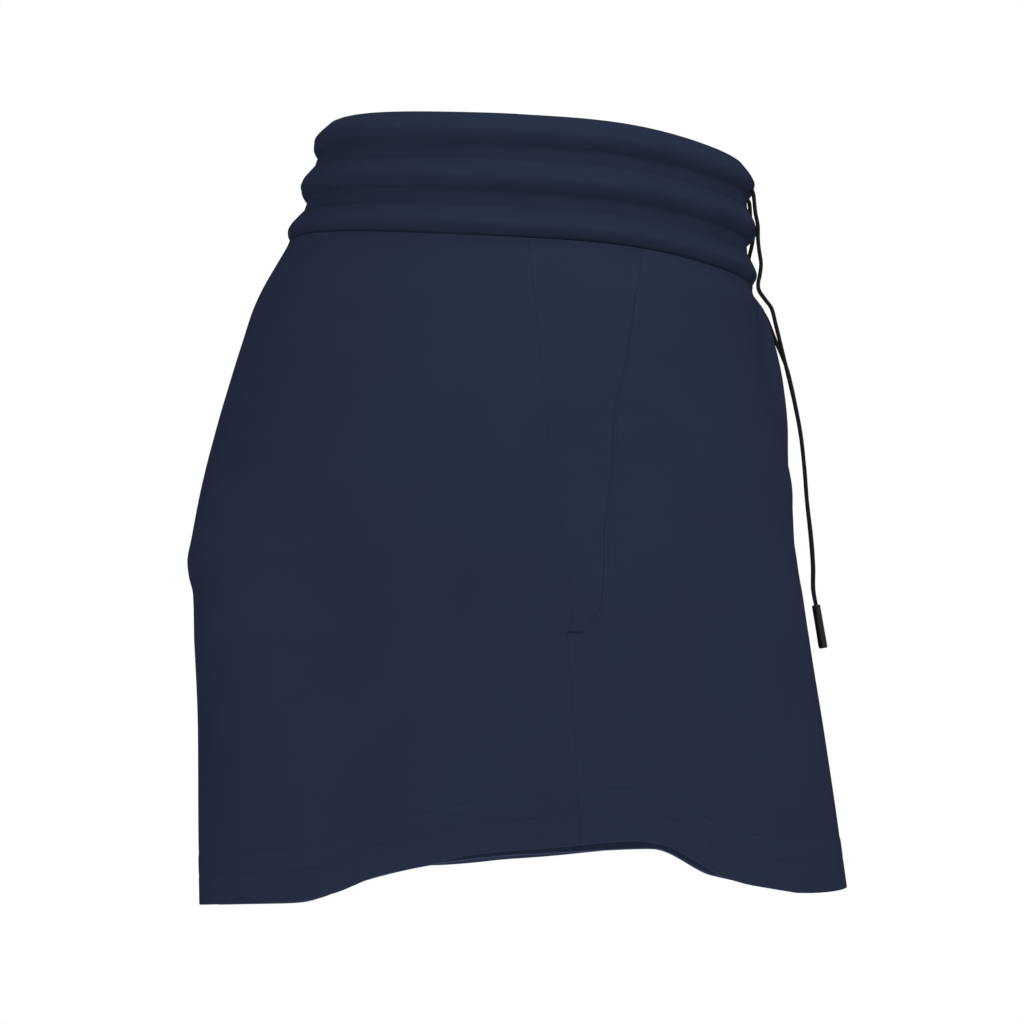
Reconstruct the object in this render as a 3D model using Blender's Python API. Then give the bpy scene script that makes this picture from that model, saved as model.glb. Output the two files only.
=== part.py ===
"""Tennis shorts, filled out as they are when worn.

Metres, +Z up. The shorts face -Y, and the wearer's right side is at -X. The origin is the
middle of the waistband, halfway up it, where the wearer's waist holds the shorts up.

Each panel is a thin wall laid on one smooth surface, the form. The form is known from its
level cuts: above the fork each cut of one half is half an oval, and down to the crotch the
oval slides outwards until it has closed into the tube of a leg. A place on the form is given
by its row, counted down the panel, and its share of the way round, from 0 at the centre
front over the side seam to 1 at the centre back.
"""
import math
from collections import namedtuple

import bpy
from mathutils import Vector

# ------------------------------------------------------------------ cloth and seams
CLOTH = 0.0014
HEM_CLOTH = 0.0024
HEM_PROUD = 0.0002        # of the hem's thickness, what stands outside the panel
SEAM_GAP = 0.0003
HALF_GAP = SEAM_GAP / 2

# ------------------------------------------------------------------ heights
BAND_HEIGHT = 0.058
BAND_TOP = BAND_HEIGHT / 2
WAIST_SEAM = -BAND_HEIGHT / 2 - SEAM_GAP
FORK = -0.105
CROTCH = -0.208
HEM = -0.3295
HEM_TURN_UP = 0.0245
WAIST_TILT = 0.096        # rise of the waist towards the back, for each metre
HIP_RISE = 0.0034         # rise of the waist over the front of each hip
HIP_TURN = 158            # degrees, as on the hem line below
HIP_WIDTH = 30
TILT_ROUNDS = 4           # rounds that settle a tilted row on the form

# ------------------------------------------------------------------ the body's level cuts
OVAL = 2.3                # power of the ovals: 2 is an ellipse, and more is squarer
FORK_POWER = 4.0          # how squarely the crotch seam turns under
LEG_PARTING = 0.009       # from the middle to a leg's inner side, at the hem

Cut = namedtuple("Cut", "height front back half_width")
CUTS = (
    Cut(-0.016, 0.1040, 0.1050, 0.1305),
    Cut(-0.030, 0.1060, 0.1145, 0.1345),
    Cut(-0.040, 0.1090, 0.1205, 0.1405),
    Cut(-0.050, 0.1130, 0.1252, 0.1460),
    Cut(-0.064, 0.1140, 0.1298, 0.1510),
    Cut(-0.082, 0.1168, 0.1354, 0.1570),
    Cut(-0.110, 0.1233, 0.1434, 0.1640),
    Cut(-0.139, 0.1286, 0.1498, 0.1700),
    Cut(-0.160, 0.1287, 0.1528, 0.1735),
    Cut(-0.170, 0.1296, 0.1541, 0.1750),
    Cut(-0.178, 0.1304, 0.1530, 0.1759),
    Cut(-0.186, 0.1315, 0.1508, 0.1768),
    Cut(-0.205, 0.1337, 0.1494, 0.1785),
    Cut(-0.250, 0.1406, 0.1470, 0.1815),
    Cut(-0.300, 0.1477, 0.1463, 0.1850),
    Cut(-0.330, 0.1515, 0.1456, 0.1870),
)

# ------------------------------------------------------------------ hem line of a leg
# Turns go round a leg in degrees: 0 at the inseam, 90 front, 180 outer side, 270 back.
HemPoint = namedtuple("HemPoint", "turn height")
HEM_LINE = (
    HemPoint(0, -0.3065),
    HemPoint(22, -0.3035),
    HemPoint(35, -0.3160),
    HemPoint(50, -0.3205),
    HemPoint(90, -0.3218),
    HemPoint(122, -0.3244),
    HemPoint(137, -0.3213),
    HemPoint(144, -0.3177),
    HemPoint(152, -0.3080),
    HemPoint(157, -0.3028),
    HemPoint(162, -0.3013),
    HemPoint(176, -0.3044),
    HemPoint(186, -0.3075),
    HemPoint(193, -0.3120),
    HemPoint(202, -0.3165),
    HemPoint(212, -0.3248),
    HemPoint(219, -0.3278),
    HemPoint(232, -0.3292),
    HemPoint(270, -0.3298),
    HemPoint(308, -0.3292),
    HemPoint(324, -0.3255),
    HemPoint(331, -0.3200),
    HemPoint(347, -0.3110),
    HemPoint(360, -0.3065),
)
# How much higher the left leg's hem runs than that line.
LEFT_HEM_LIFT = (
    HemPoint(0, 0.0000),
    HemPoint(112, 0.0000),
    HemPoint(143, 0.0080),
    HemPoint(157, 0.0012),
    HemPoint(168, -0.0013),
    HemPoint(185, -0.0013),
    HemPoint(196, 0.0030),
    HemPoint(209, 0.0048),
    HemPoint(226, 0.0000),
    HemPoint(360, 0.0000),
)

# ------------------------------------------------------------------ seams down the outer side
SeamPoint = namedtuple("SeamPoint", "height y")
SIDE_SEAM = (
    SeamPoint(-0.016, -0.0035),
    SeamPoint(-0.120, -0.0140),
    SeamPoint(-0.208, -0.0220),
    SeamPoint(-0.330, -0.0300),
)
POCKET_MOUTH = (
    SeamPoint(-0.016, -0.0565),
    SeamPoint(-0.110, -0.0435),
    SeamPoint(-0.208, -0.0220),
)
POCKET_UNDERLAP = 0.006
POCKET_STEP = 0.0022      # how far the facing lies under the front at the mouth
POCKET_SLOPE = 0.012      # the width over which the facing rises back to the side seam

# ------------------------------------------------------------------ largest folds
# A fold runs from one height and turn to another; depth is above 0 for a ridge.
Fold = namedtuple("Fold", "top bottom turn_top turn_bottom width depth")
FOLD_FULLEST = 0.8        # below 1 puts a fold's deepest place above its middle
SEAM_HOLD = 0.06          # share of a row over which the seam at its end holds folds down
FOLDS = {
    "right": (
        Fold(-0.120, -0.345, 222, 211, 15, -0.0050),
        Fold(-0.130, -0.350, 240, 234, 17, 0.0030),
        Fold(-0.150, -0.350, 138, 150, 13, -0.0045),
        Fold(-0.190, -0.350, 60, 52, 20, -0.0040),
        Fold(-0.180, -0.350, 312, 305, 20, -0.0040),
    ),
    "left": (
        Fold(-0.135, -0.350, 225, 213, 17, -0.0045),
        Fold(-0.120, -0.345, 144, 152, 14, -0.0050),
        Fold(-0.036, -0.138, 102, 99, 20, 0.0120),
        Fold(-0.200, -0.350, 64, 55, 20, -0.0040),
        Fold(-0.170, -0.350, 308, 300, 22, -0.0040),
    ),
}

# ------------------------------------------------------------------ grid of the panels
YOKE_ROWS = 6             # waist seam to fork
FORK_ROWS = 11            # fork to crotch
LEG_ROWS = 5              # crotch to the top of the hem
HEM_ROWS = 2
CROTCH_ROW = YOKE_ROWS + FORK_ROWS
HEM_ROW = CROTCH_ROW + LEG_ROWS
LAST_ROW = HEM_ROW + HEM_ROWS
YOKE_CROWDING = 1.25      # above 1 crowds the rows towards the waist
HEM_STEP = 0.25           # rows over which the cloth thickens into the hem
PANEL_COLUMNS = 17
FACING_COLUMNS = 6
MEASURED_STEPS = 24       # points by which a row's length is measured
NORMAL_STEP = 0.01        # of a row, and of the way round, for the form's normal

# ------------------------------------------------------------------ waistband
CHANNELS = 3
CHANNEL_HEIGHT = 0.0150
STRIP_HEIGHT = (BAND_HEIGHT - CHANNELS * CHANNEL_HEIGHT) / (CHANNELS - 1)
CHANNEL_SWELL = 0.0045    # outwards
CHANNEL_LINING = 0.0015   # inwards
CHANNEL_SAG = 1.35        # above 1 puts the fullest place under the middle
CHANNEL_FULLNESS = 0.6    # below 1 makes the swelling rounder than a wave
STRIP_CLOTH = 0.0022
BAND_SEGMENTS = 72
BAND_NORMAL_STEP = 0.02   # radians
CHANNEL_STEPS = 6
LINING_STEPS = 3
BandCut = namedtuple("BandCut", "drop front back half_width")
BAND_CUTS = (
    BandCut(0.000, 0.1062, 0.0893, 0.1272),
    BandCut(0.018, 0.1082, 0.0953, 0.1293),
    BandCut(0.040, 0.1082, 0.1004, 0.1308),
    BandCut(BAND_HEIGHT, 0.1082, 0.1058, 0.1325),
)

# ------------------------------------------------------------------ drawcord
CORD_DIAMETER = 0.0019
CORD_STEP = 2.8           # diameters between the points of the tube
TIP_LENGTH = 0.0205
TIP_DIAMETER = 0.0040
TIP_ROUNDING = 0.0004
TIP_SIDES = 16
EYELET_RING = 0.0024
EYELET_THREAD = 0.0005
EYELET_TILT = math.radians(38)       # below level, as the puff faces there
EYELET_SEGMENTS = 18
EYELET_SIDES = 8
# Points of each cord's line from its eyelet to its tip, in metres.
CORD_ROUTES = {
    "right": (
        (-0.0260, -0.1112, 0.0060),
        (-0.0261, -0.1117, 0.0048),
        (-0.0262, -0.1117, 0.0030),
        (-0.0264, -0.1116, 0.0000),
        (-0.0268, -0.1119, -0.0050),
        (-0.0273, -0.1128, -0.0110),
        (-0.0279, -0.1128, -0.0165),
        (-0.0285, -0.1133, -0.0225),
        (-0.0291, -0.1142, -0.0290),
        (-0.0296, -0.1136, -0.0345),
        (-0.0300, -0.1128, -0.0385),
        (-0.0303, -0.1133, -0.0420),
        (-0.0306, -0.1160, -0.0460),
        (-0.0309, -0.1191, -0.0505),
        (-0.0312, -0.1209, -0.0575),
        (-0.0316, -0.1234, -0.0680),
        (-0.0320, -0.1264, -0.0805),
        (-0.0324, -0.1297, -0.0950),
        (-0.0328, -0.1325, -0.1100),
        (-0.0333, -0.1342, -0.1260),
        (-0.0338, -0.1353, -0.1410),
        (-0.0343, -0.1369, -0.1570),
        (-0.0347, -0.1379, -0.1710),
        (-0.0350, -0.1380, -0.1820),
        (-0.0351, -0.1393, -0.1895),
    ),
    "left": (
        (0.0260, -0.1112, 0.0060),
        (0.0263, -0.1116, 0.0048),
        (0.0267, -0.1114, 0.0030),
        (0.0273, -0.1112, 0.0000),
        (0.0287, -0.1113, -0.0050),
        (0.0305, -0.1124, -0.0110),
        (0.0325, -0.1117, -0.0160),
        (0.0348, -0.1105, -0.0215),
        (0.0372, -0.1106, -0.0275),
        (0.0390, -0.1115, -0.0330),
        (0.0405, -0.1118, -0.0380),
        (0.0415, -0.1154, -0.0430),
        (0.0425, -0.1196, -0.0500),
        (0.0441, -0.1232, -0.0590),
        (0.0457, -0.1268, -0.0670),
        (0.0470, -0.1297, -0.0750),
        (0.0480, -0.1330, -0.0895),
        (0.0490, -0.1358, -0.1047),
        (0.0500, -0.1376, -0.1210),
        (0.0510, -0.1388, -0.1363),
        (0.0516, -0.1407, -0.1526),
        (0.0521, -0.1418, -0.1669),
        (0.0524, -0.1418, -0.1782),
        (0.0525, -0.1430, -0.1859),
    ),
}

# ------------------------------------------------------------------ colours (linear)
NAVY = (0.0185, 0.0252, 0.0480)
NAVY_BAND = (0.0175, 0.0240, 0.0460)
CORD_BLACK = (0.0060, 0.0062, 0.0070)
TIP_BLACK = (0.0080, 0.0080, 0.0085)


# ================================================================== numbers
def mix(a, b, share):
    """The value that lies a share of the way from a to b."""
    return a + (b - a) * share


def ease(share):
    """A share from 0 to 1, eased at both ends."""
    share = min(1.0, max(0.0, share))
    return share * share * (3 - 2 * share)


def power(value, exponent):
    """A power that keeps the sign of its value."""
    return math.copysign(abs(value) ** exponent, value)


def read(table, place, column):
    """A column of a table read between its rows on a smooth curve; the first column is the place."""
    keys = [row[0] for row in table]
    values = [getattr(row, column) for row in table]
    if keys[0] > keys[-1]:
        keys.reverse()
        values.reverse()
    place = min(keys[-1], max(keys[0], place))
    slopes = [(values[i + 1] - values[i]) / (keys[i + 1] - keys[i]) for i in range(len(keys) - 1)]

    def tangent(i):
        before, after = slopes[max(i - 1, 0)], slopes[min(i, len(slopes) - 1)]
        return 0.0 if before * after <= 0 else 2 * before * after / (before + after)

    i = max(k for k in range(len(keys) - 1) if keys[k] <= place)
    span = keys[i + 1] - keys[i]
    q = (place - keys[i]) / span
    bend_in = span * tangent(i) * q * (1 - q) ** 2
    bend_out = span * tangent(i + 1) * q * q * (1 - q)
    return mix(values[i], values[i + 1], ease(q)) + bend_in - bend_out


# ================================================================== the form of one half
def closure(height):
    """How far a level cut has closed into a leg: 0 at the fork and above, 1 at the crotch."""
    share = min(1.0, max(0.0, (FORK - height) / (FORK - CROTCH)))
    return share ** (FORK_POWER / OVAL)


def oval_place(height):
    """The middle and half width of the oval of a level cut, measured outwards from the middle."""
    half = read(CUTS, height, "half_width")
    if height > CROTCH:
        closed = closure(height)
        middle = (HALF_GAP + half * closed) / (1 + closed)
    else:
        inner = HALF_GAP + LEG_PARTING * (CROTCH - height) / (CROTCH - HEM)
        middle = (half + inner) / 2
    return middle, half - middle


def reach(height, turn):
    """How far the oval reaches to the front or the back, on the side that the turn is on."""
    return read(CUTS, height, "front" if math.sin(turn) > 0 else "back")


def level_cut(height, turn):
    """The point of the right half's level cut at a turn in radians."""
    middle, half = oval_place(height)
    x = -middle + half * power(math.cos(turn), 2 / OVAL)
    y = -reach(height, turn) * power(math.sin(turn), 2 / OVAL)
    return Vector((min(x, -HALF_GAP), y, height))


def first_turn(height):
    """The turn where a level cut leaves the centre front, or a leg's inseam."""
    inseam = math.asin((HALF_GAP / reach(height, 1.0)) ** (OVAL / 2))
    if height <= CROTCH:
        return inseam
    middle, half = oval_place(height)
    return max(inseam, math.acos(min(1.0, (middle - HALF_GAP) / half) ** (OVAL / 2)))


def turn_at(height, share):
    """The turn at a share of the way round, in radians."""
    start = first_turn(height)
    return start + share * (2 * math.pi - 2 * start)


def share_of(height, y):
    """The share of the way round at which the outer side of a level cut passes a y."""
    turn = math.pi - math.copysign(1, -y) * math.asin((abs(y) / reach(height, -y)) ** (OVAL / 2))
    start = first_turn(height)
    return (turn - start) / (2 * math.pi - 2 * start)


def waist_rise(y, turn):
    """How far the waist rises above the level at a y and a turn in radians."""
    away = (math.degrees(turn) - HIP_TURN) / HIP_WIDTH
    return WAIST_TILT * y + HIP_RISE * math.exp(-away * away)


def hem_height(turn):
    """The height of the hem's edge at a turn in radians."""
    return read(HEM_LINE, math.degrees(turn), "height")


def heights_of(row, share):
    """The level whose cut a row follows at its ends, and the row's own height at a share."""
    outwards = math.sin(math.pi * share) ** 2
    if row <= YOKE_ROWS:
        down = (row / YOKE_ROWS) ** YOKE_CROWDING
        level = mix(WAIST_SEAM, FORK, down)
        turn, height = turn_at(level, share), level
        for _ in range(TILT_ROUNDS):
            rise = waist_rise(level_cut(height, turn).y, turn)
            height = level + rise * (1 - ease(down))
        return level, height
    if row <= CROTCH_ROW:
        down = (row - YOKE_ROWS) / FORK_ROWS
        level = mix(FORK, CROTCH, math.sin(down * math.pi / 2))
        return level, mix(level, mix(FORK, CROTCH, down), outwards)
    hem_top = hem_height(turn_at(HEM, share)) + HEM_TURN_UP
    if row <= HEM_ROW:
        height = mix(CROTCH, hem_top, (row - CROTCH_ROW) / LEG_ROWS)
    else:
        height = hem_top - HEM_TURN_UP * (row - HEM_ROW) / HEM_ROWS
    return height, height


def form(row, share):
    """The point of the right half's form at a row and share."""
    level, height = heights_of(row, share)
    return level_cut(height, turn_at(level, share))


def outward(row, share):
    """The form's normal at a row and share."""
    step = NORMAL_STEP
    across = form(row, min(1.0, share + step)) - form(row, max(0.0, share - step))
    down = form(min(LAST_ROW, row + step), share) - form(max(0.0, row - step), share)
    return across.cross(down).normalized()


def fold_depth(side, row, share):
    """How far the folds of one side move the form outwards at a row and share."""
    level, height = heights_of(row, share)
    turn = math.degrees(turn_at(level, share))
    depth = 0.0
    for fold in FOLDS[side]:
        down = (fold.top - height) / (fold.top - fold.bottom)
        if 0 < down < 1:
            away = (turn - mix(fold.turn_top, fold.turn_bottom, down)) / fold.width
            along = math.sin(math.pi * down ** FOLD_FULLEST)
            depth += fold.depth * along * math.exp(-away * away)
    return depth * ease(share / SEAM_HOLD) * ease((1 - share) / SEAM_HOLD)


def lie(side, row, share, lift):
    """A point of the cloth on one side of the wearer, lifted off the form."""
    place = form(row, share) + outward(row, share) * (lift + fold_depth(side, row, share))
    place.x = min(place.x, -HALF_GAP)
    if side == "left":
        turn = math.degrees(turn_at(HEM, share))
        place.z += read(LEFT_HEM_LIFT, turn, "height") * ease((row - CROTCH_ROW) / LEG_ROWS)
        place.x = -place.x
    return place


# ================================================================== meshes and objects
def material(name, colour, roughness):
    """A plain material of one colour."""
    made = bpy.data.materials.new(name)
    made.use_nodes = True
    shader = made.node_tree.nodes["Principled BSDF"]
    shader.inputs["Base Color"].default_value = (*colour, 1)
    shader.inputs["Roughness"].default_value = roughness
    made.diffuse_color = (*colour, 1)
    return made


def place_object(name, data, colour, roughness):
    """An object of some data, with its own material."""
    data.materials.append(material(name, colour, roughness))
    made = bpy.data.objects.new(name, data)
    bpy.context.scene.collection.objects.link(made)
    return made


def solid(name, points, faces, colour, roughness, turned=False):
    """A smooth object from points and faces; turned says that the faces run the other way."""
    mesh = bpy.data.meshes.new(name)
    mesh.from_pydata(points, [], [face[::-1] for face in faces] if turned else faces)
    mesh.shade_smooth()
    mesh.set_sharp_from_angle(angle=math.radians(50))
    return place_object(name, mesh, colour, roughness)


def wall(name, side, first, last, columns, rows, outside, inside, colour):
    """A panel's wall between the shares first(row) and last(row), from the first of rows to the last.

    outside(row, share) and inside(row, share) are the lifts of its two faces off the form.
    """
    grids = []
    for lift in (outside, inside):
        for row in rows:
            for column in range(columns + 1):
                share = mix(first(row), last(row), column / columns)
                grids.append(lie(side, row, share, lift(row, share)))
    wide, tall = columns + 1, len(rows)
    back = wide * tall

    faces = []
    for i in range(tall - 1):
        for j in range(columns):
            a, b = i * wide + j, i * wide + j + 1
            faces.append((a, b, b + wide, a + wide))
            faces.append((back + a, back + a + wide, back + b + wide, back + b))
    edge = list(range(wide))
    edge += [i * wide + columns for i in range(1, tall)]
    edge += [(tall - 1) * wide + j for j in range(columns - 1, -1, -1)]
    edge += [i * wide for i in range(tall - 2, 0, -1)]
    for a, b in zip(edge, edge[1:] + edge[:1]):
        faces.append((b, a, back + a, back + b))
    return solid(name, grids, faces, colour, 0.9, turned=side == "left")


# ================================================================== panels
def side_seam(row):
    """The share of the way round at which the side seam crosses a row."""
    height = heights_of(row, 0.5)[1]
    return share_of(height, read(SIDE_SEAM, height, "y"))


def pocket_mouth(row):
    """The share at which the pocket's mouth crosses a row."""
    height = heights_of(row, 0.5)[1]
    return share_of(height, read(POCKET_MOUTH, height, "y"))


def round_trip(row):
    """The length of a row from the centre front to the centre back, by its points."""
    points = [form(row, i / MEASURED_STEPS) for i in range(MEASURED_STEPS + 1)]
    return sum((b - a).length for a, b in zip(points, points[1:]))


def share_gap(row):
    """Half a seam's gap, as a share of a row."""
    return HALF_GAP / round_trip(row)


def front_edge(row):
    """Where the front panel ends: at the pocket's mouth, and under the pocket at the side seam."""
    if row < CROTCH_ROW:
        return pocket_mouth(row)
    return side_seam(row) - share_gap(row)


def hem_share(row):
    """How far the cloth has thickened into the hem: 0 above it and 1 on it."""
    return ease((row - HEM_ROW) / HEM_STEP)


def cloth_outside(row, share):
    """The lift of a panel's outer face, which is a little proud where the hem is turned up."""
    return HEM_PROUD * hem_share(row)


def cloth_inside(row, share):
    """The lift of a panel's inner face."""
    return -mix(CLOTH, HEM_CLOTH - HEM_PROUD, hem_share(row))


def panel_rows():
    """The rows of a whole panel, with one more just under the top of the hem for its step."""
    return sorted([*range(LAST_ROW + 1), HEM_ROW + HEM_STEP])


def front_panel(side):
    """A front, from the crotch seam and inseam to the pocket's mouth and side seam."""
    wall(f"front_{side}", side, lambda row: 0.0, front_edge, PANEL_COLUMNS, panel_rows(),
         cloth_outside, cloth_inside, NAVY)


def back_panel(side):
    """A back, from the side seam to the seat seam and inseam."""
    wall(f"back_{side}", side, lambda row: side_seam(row) + share_gap(row), lambda row: 1.0,
         PANEL_COLUMNS, panel_rows(), cloth_outside, cloth_inside, NAVY)


def pocket_facing(side):
    """The wedge behind the pocket's mouth: flush at the side seam, and under the front beyond it."""
    rows = range(CROTCH_ROW + 1)

    def under(row):
        return pocket_mouth(row) - POCKET_UNDERLAP / round_trip(row)

    def sunk(row, share):
        from_mouth = (share - pocket_mouth(row)) * round_trip(row)
        return -POCKET_STEP * (1 - ease(from_mouth / POCKET_SLOPE))

    wall(f"pocket_facing_{side}", side, under, lambda row: side_seam(row) - share_gap(row),
         FACING_COLUMNS, rows, sunk, lambda row, share: sunk(row, share) - CLOTH, NAVY)


# ================================================================== waistband
def swell(drop, amount):
    """How far a channel swells at a drop below its own top edge."""
    rise = math.sin(math.pi * min(1.0, drop / CHANNEL_HEIGHT) ** CHANNEL_SAG)
    return amount * max(0.0, rise) ** CHANNEL_FULLNESS


def band_point(angle, drop, lift):
    """A point of the waistband at an angle round it, a drop below its top edge and a lift off it."""
    def ring(at):
        sine, cosine = math.sin(at), math.cos(at)
        long = read(BAND_CUTS, drop, "back" if sine > 0 else "front")
        across = read(BAND_CUTS, drop, "half_width")
        return Vector((across * power(cosine, 2 / OVAL), long * power(sine, 2 / OVAL), 0))

    along = ring(angle + BAND_NORMAL_STEP) - ring(angle - BAND_NORMAL_STEP)
    place = ring(angle) + Vector((along.y, -along.x, 0)).normalized() * lift
    turn = math.atan2(-math.sin(angle), -abs(math.cos(angle))) % (2 * math.pi)
    place.z = BAND_TOP - drop + waist_rise(place.y, turn)
    return place


def band_profile():
    """The closed outline of the band's cut, as (drop, lift): down its outside and up its inside."""
    outside, inside = [], []
    for channel in range(CHANNELS):
        top = channel * (CHANNEL_HEIGHT + STRIP_HEIGHT)
        for step in range(CHANNEL_STEPS + 1):
            drop = CHANNEL_HEIGHT * step / CHANNEL_STEPS
            outside.append((top + drop, swell(drop, CHANNEL_SWELL)))
        for step in range(LINING_STEPS + 1):
            bulge = CHANNEL_LINING * math.sin(math.pi * step / LINING_STEPS)
            inside.append((top + CHANNEL_HEIGHT * step / LINING_STEPS, -STRIP_CLOTH - bulge))
    return outside + inside[::-1]


def waistband():
    """The band: one ring with three swollen channels and two flat strips."""
    profile = band_profile()
    count = len(profile)
    points = []
    for i in range(BAND_SEGMENTS):
        angle = 2 * math.pi * (i + 0.5) / BAND_SEGMENTS
        points += [band_point(angle, drop, lift) for drop, lift in profile]
    faces = []
    for i in range(BAND_SEGMENTS):
        here, there = i * count, (i + 1) % BAND_SEGMENTS * count
        for j in range(count):
            k = (j + 1) % count
            faces.append((here + j, here + k, there + k, there + j))
    solid("waistband", points, faces, NAVY_BAND, 0.9)


# ================================================================== drawcord
def smooth_line(route, spacing):
    """Points at an even spacing along a smooth curve through the route's points."""
    points = [Vector(p) for p in route]
    points = [2 * points[0] - points[1], *points, 2 * points[-1] - points[-2]]
    fine, steps = [], 16
    for a, b, c, d in zip(points, points[1:], points[2:], points[3:]):
        for i in range(steps):
            q = i / steps
            fine.append(0.5 * (2 * b + (c - a) * q + (2 * a - 5 * b + 4 * c - d) * q ** 2
                               + (3 * b - a - 3 * c + d) * q ** 3))
    fine.append(points[-2])
    length = sum((b - a).length for a, b in zip(fine, fine[1:]))
    count = round(length / spacing)
    line, walked, target = [fine[0]], 0.0, length / count
    for a, b in zip(fine, fine[1:]):
        stretch = (b - a).length
        while walked + stretch >= target * len(line) and len(line) < count:
            line.append(a.lerp(b, (target * len(line) - walked) / stretch))
        walked += stretch
    return [*line, fine[-1]]


def drawcord(side):
    """One free end of the cord, a tube along its route."""
    curve = bpy.data.curves.new(f"drawcord_{side}", "CURVE")
    curve.dimensions = "3D"
    curve.bevel_depth = CORD_DIAMETER / 2
    curve.bevel_resolution = 2
    curve.use_fill_caps = True
    line = smooth_line(CORD_ROUTES[side], CORD_STEP * CORD_DIAMETER)
    spline = curve.splines.new("POLY")
    spline.points.add(len(line) - 1)
    for point, place in zip(spline.points, line):
        point.co = (*place, 1)
    place_object(f"drawcord_{side}", curve, CORD_BLACK, 0.7)


def turned(name, profile, sides, colour, roughness):
    """A solid turned about its own Z axis from a profile of (radius, height), top to bottom."""
    points = [(0, 0, profile[0][1])]
    for radius, height in profile:
        for i in range(sides):
            angle = 2 * math.pi * i / sides
            points.append((radius * math.cos(angle), radius * math.sin(angle), height))
    points.append((0, 0, profile[-1][1]))
    faces = [(0, 1 + i, 1 + (i + 1) % sides) for i in range(sides)]
    for ring in range(len(profile) - 1):
        a, b = 1 + ring * sides, 1 + (ring + 1) * sides
        for i in range(sides):
            k = (i + 1) % sides
            faces.append((a + i, b + i, b + k, a + k))
    last, base = len(points) - 1, 1 + (len(profile) - 1) * sides
    faces += [(last, base + (i + 1) % sides, base + i) for i in range(sides)]
    return solid(name, points, faces, colour, roughness)


def cord_tip(side):
    """The tip pressed on the cord's end, in line with its last stretch."""
    end, before = Vector(CORD_ROUTES[side][-1]), Vector(CORD_ROUTES[side][-2])
    ahead = (end - before).normalized()
    radius = TIP_DIAMETER / 2
    profile = [
        (radius - TIP_ROUNDING, 0),
        (radius, -TIP_ROUNDING),
        (radius, TIP_ROUNDING - TIP_LENGTH),
        (radius - TIP_ROUNDING, -TIP_LENGTH),
    ]
    tip = turned(f"cord_tip_{side}", profile, TIP_SIDES, TIP_BLACK, 0.45)
    tip.location = end + ahead * SEAM_GAP
    tip.rotation_euler = ahead.to_track_quat("-Z", "Y").to_euler()


def eyelet(side):
    """The ring of thread round the hole that the cord leaves by."""
    points, faces = [], []
    for i in range(EYELET_SEGMENTS):
        around = 2 * math.pi * i / EYELET_SEGMENTS
        here, there = i * EYELET_SIDES, (i + 1) % EYELET_SEGMENTS * EYELET_SIDES
        for j in range(EYELET_SIDES):
            turn = 2 * math.pi * j / EYELET_SIDES
            radius = EYELET_RING + EYELET_THREAD * math.cos(turn)
            points.append((radius * math.cos(around), radius * math.sin(around),
                           EYELET_THREAD * math.sin(turn)))
            k = (j + 1) % EYELET_SIDES
            faces.append((here + j, there + j, there + k, here + k))
    ring = solid(f"eyelet_{side}", points, faces, NAVY_BAND, 0.8)
    ring.location = CORD_ROUTES[side][0]
    ring.rotation_euler = (math.pi / 2 + EYELET_TILT, 0, 0)


# ================================================================== the shorts
def main():
    for old in list(bpy.data.objects):
        bpy.data.objects.remove(old)
    waistband()
    for side in ("right", "left"):
        front_panel(side)
        back_panel(side)
        pocket_facing(side)
        eyelet(side)
        drawcord(side)
        cord_tip(side)


main()
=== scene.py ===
# %% [markdown]
# # Tennis shorts, dressed for a picture
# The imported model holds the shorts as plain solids. This script puts a finer garment in their
# place: the same form from the same few sizes, on a grid that can carry soft creases, rolled
# seams and rows of stitches. It could be sculpted by hand or draped by simulation. Formulas were
# chosen because the photo shows a smooth, filled-out shape, and a formula gives it every time.

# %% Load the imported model
import math
from collections import namedtuple

import bpy
import numpy as np
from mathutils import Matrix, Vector


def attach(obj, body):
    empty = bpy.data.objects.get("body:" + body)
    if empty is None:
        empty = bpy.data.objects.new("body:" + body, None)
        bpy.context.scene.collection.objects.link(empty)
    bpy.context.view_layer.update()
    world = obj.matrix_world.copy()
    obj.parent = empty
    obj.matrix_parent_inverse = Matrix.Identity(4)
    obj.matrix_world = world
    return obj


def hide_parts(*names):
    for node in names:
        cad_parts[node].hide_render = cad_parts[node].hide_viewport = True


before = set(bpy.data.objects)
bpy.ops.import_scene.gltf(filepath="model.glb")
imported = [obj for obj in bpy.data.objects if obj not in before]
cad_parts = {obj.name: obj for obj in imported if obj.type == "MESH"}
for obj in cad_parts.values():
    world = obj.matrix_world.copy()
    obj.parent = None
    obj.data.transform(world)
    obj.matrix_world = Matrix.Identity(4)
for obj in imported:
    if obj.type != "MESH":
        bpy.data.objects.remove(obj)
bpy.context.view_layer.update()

print("the packed nodes:", ", ".join(sorted(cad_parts)))

# %% [markdown]
# ## The camera
# The photo looks square at the wearer's right side, from just under the hem. A long lens a few
# metres away keeps the near and far hems almost in line, as they are there. An orthographic
# camera would be simpler, but then the far hem would not show below the near one.

# %% Camera
PICTURE_SIDE = 1024                  # pixels
FOCAL_LENGTH = 7200                  # pixels
SENSOR = 36                          # millimetres
CAMERA_PLACE = Vector((-3.4, 0.0, -0.329))
LOOKED_AT = Vector((0.0, 0.0028, -0.1443))

camera_data = bpy.data.cameras.new("camera")
camera_data.sensor_width = SENSOR
camera_data.lens = FOCAL_LENGTH / PICTURE_SIDE * SENSOR
camera_data.clip_end = 60
camera = bpy.data.objects.new("camera", camera_data)
camera.location = CAMERA_PLACE
camera.rotation_euler = (LOOKED_AT - CAMERA_PLACE).to_track_quat("-Z", "Y").to_euler()
bpy.context.scene.collection.objects.link(camera)
bpy.context.scene.camera = camera
print(f"a lens of {camera_data.lens:.0f} mm at {CAMERA_PLACE.length:.2f} m")

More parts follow.
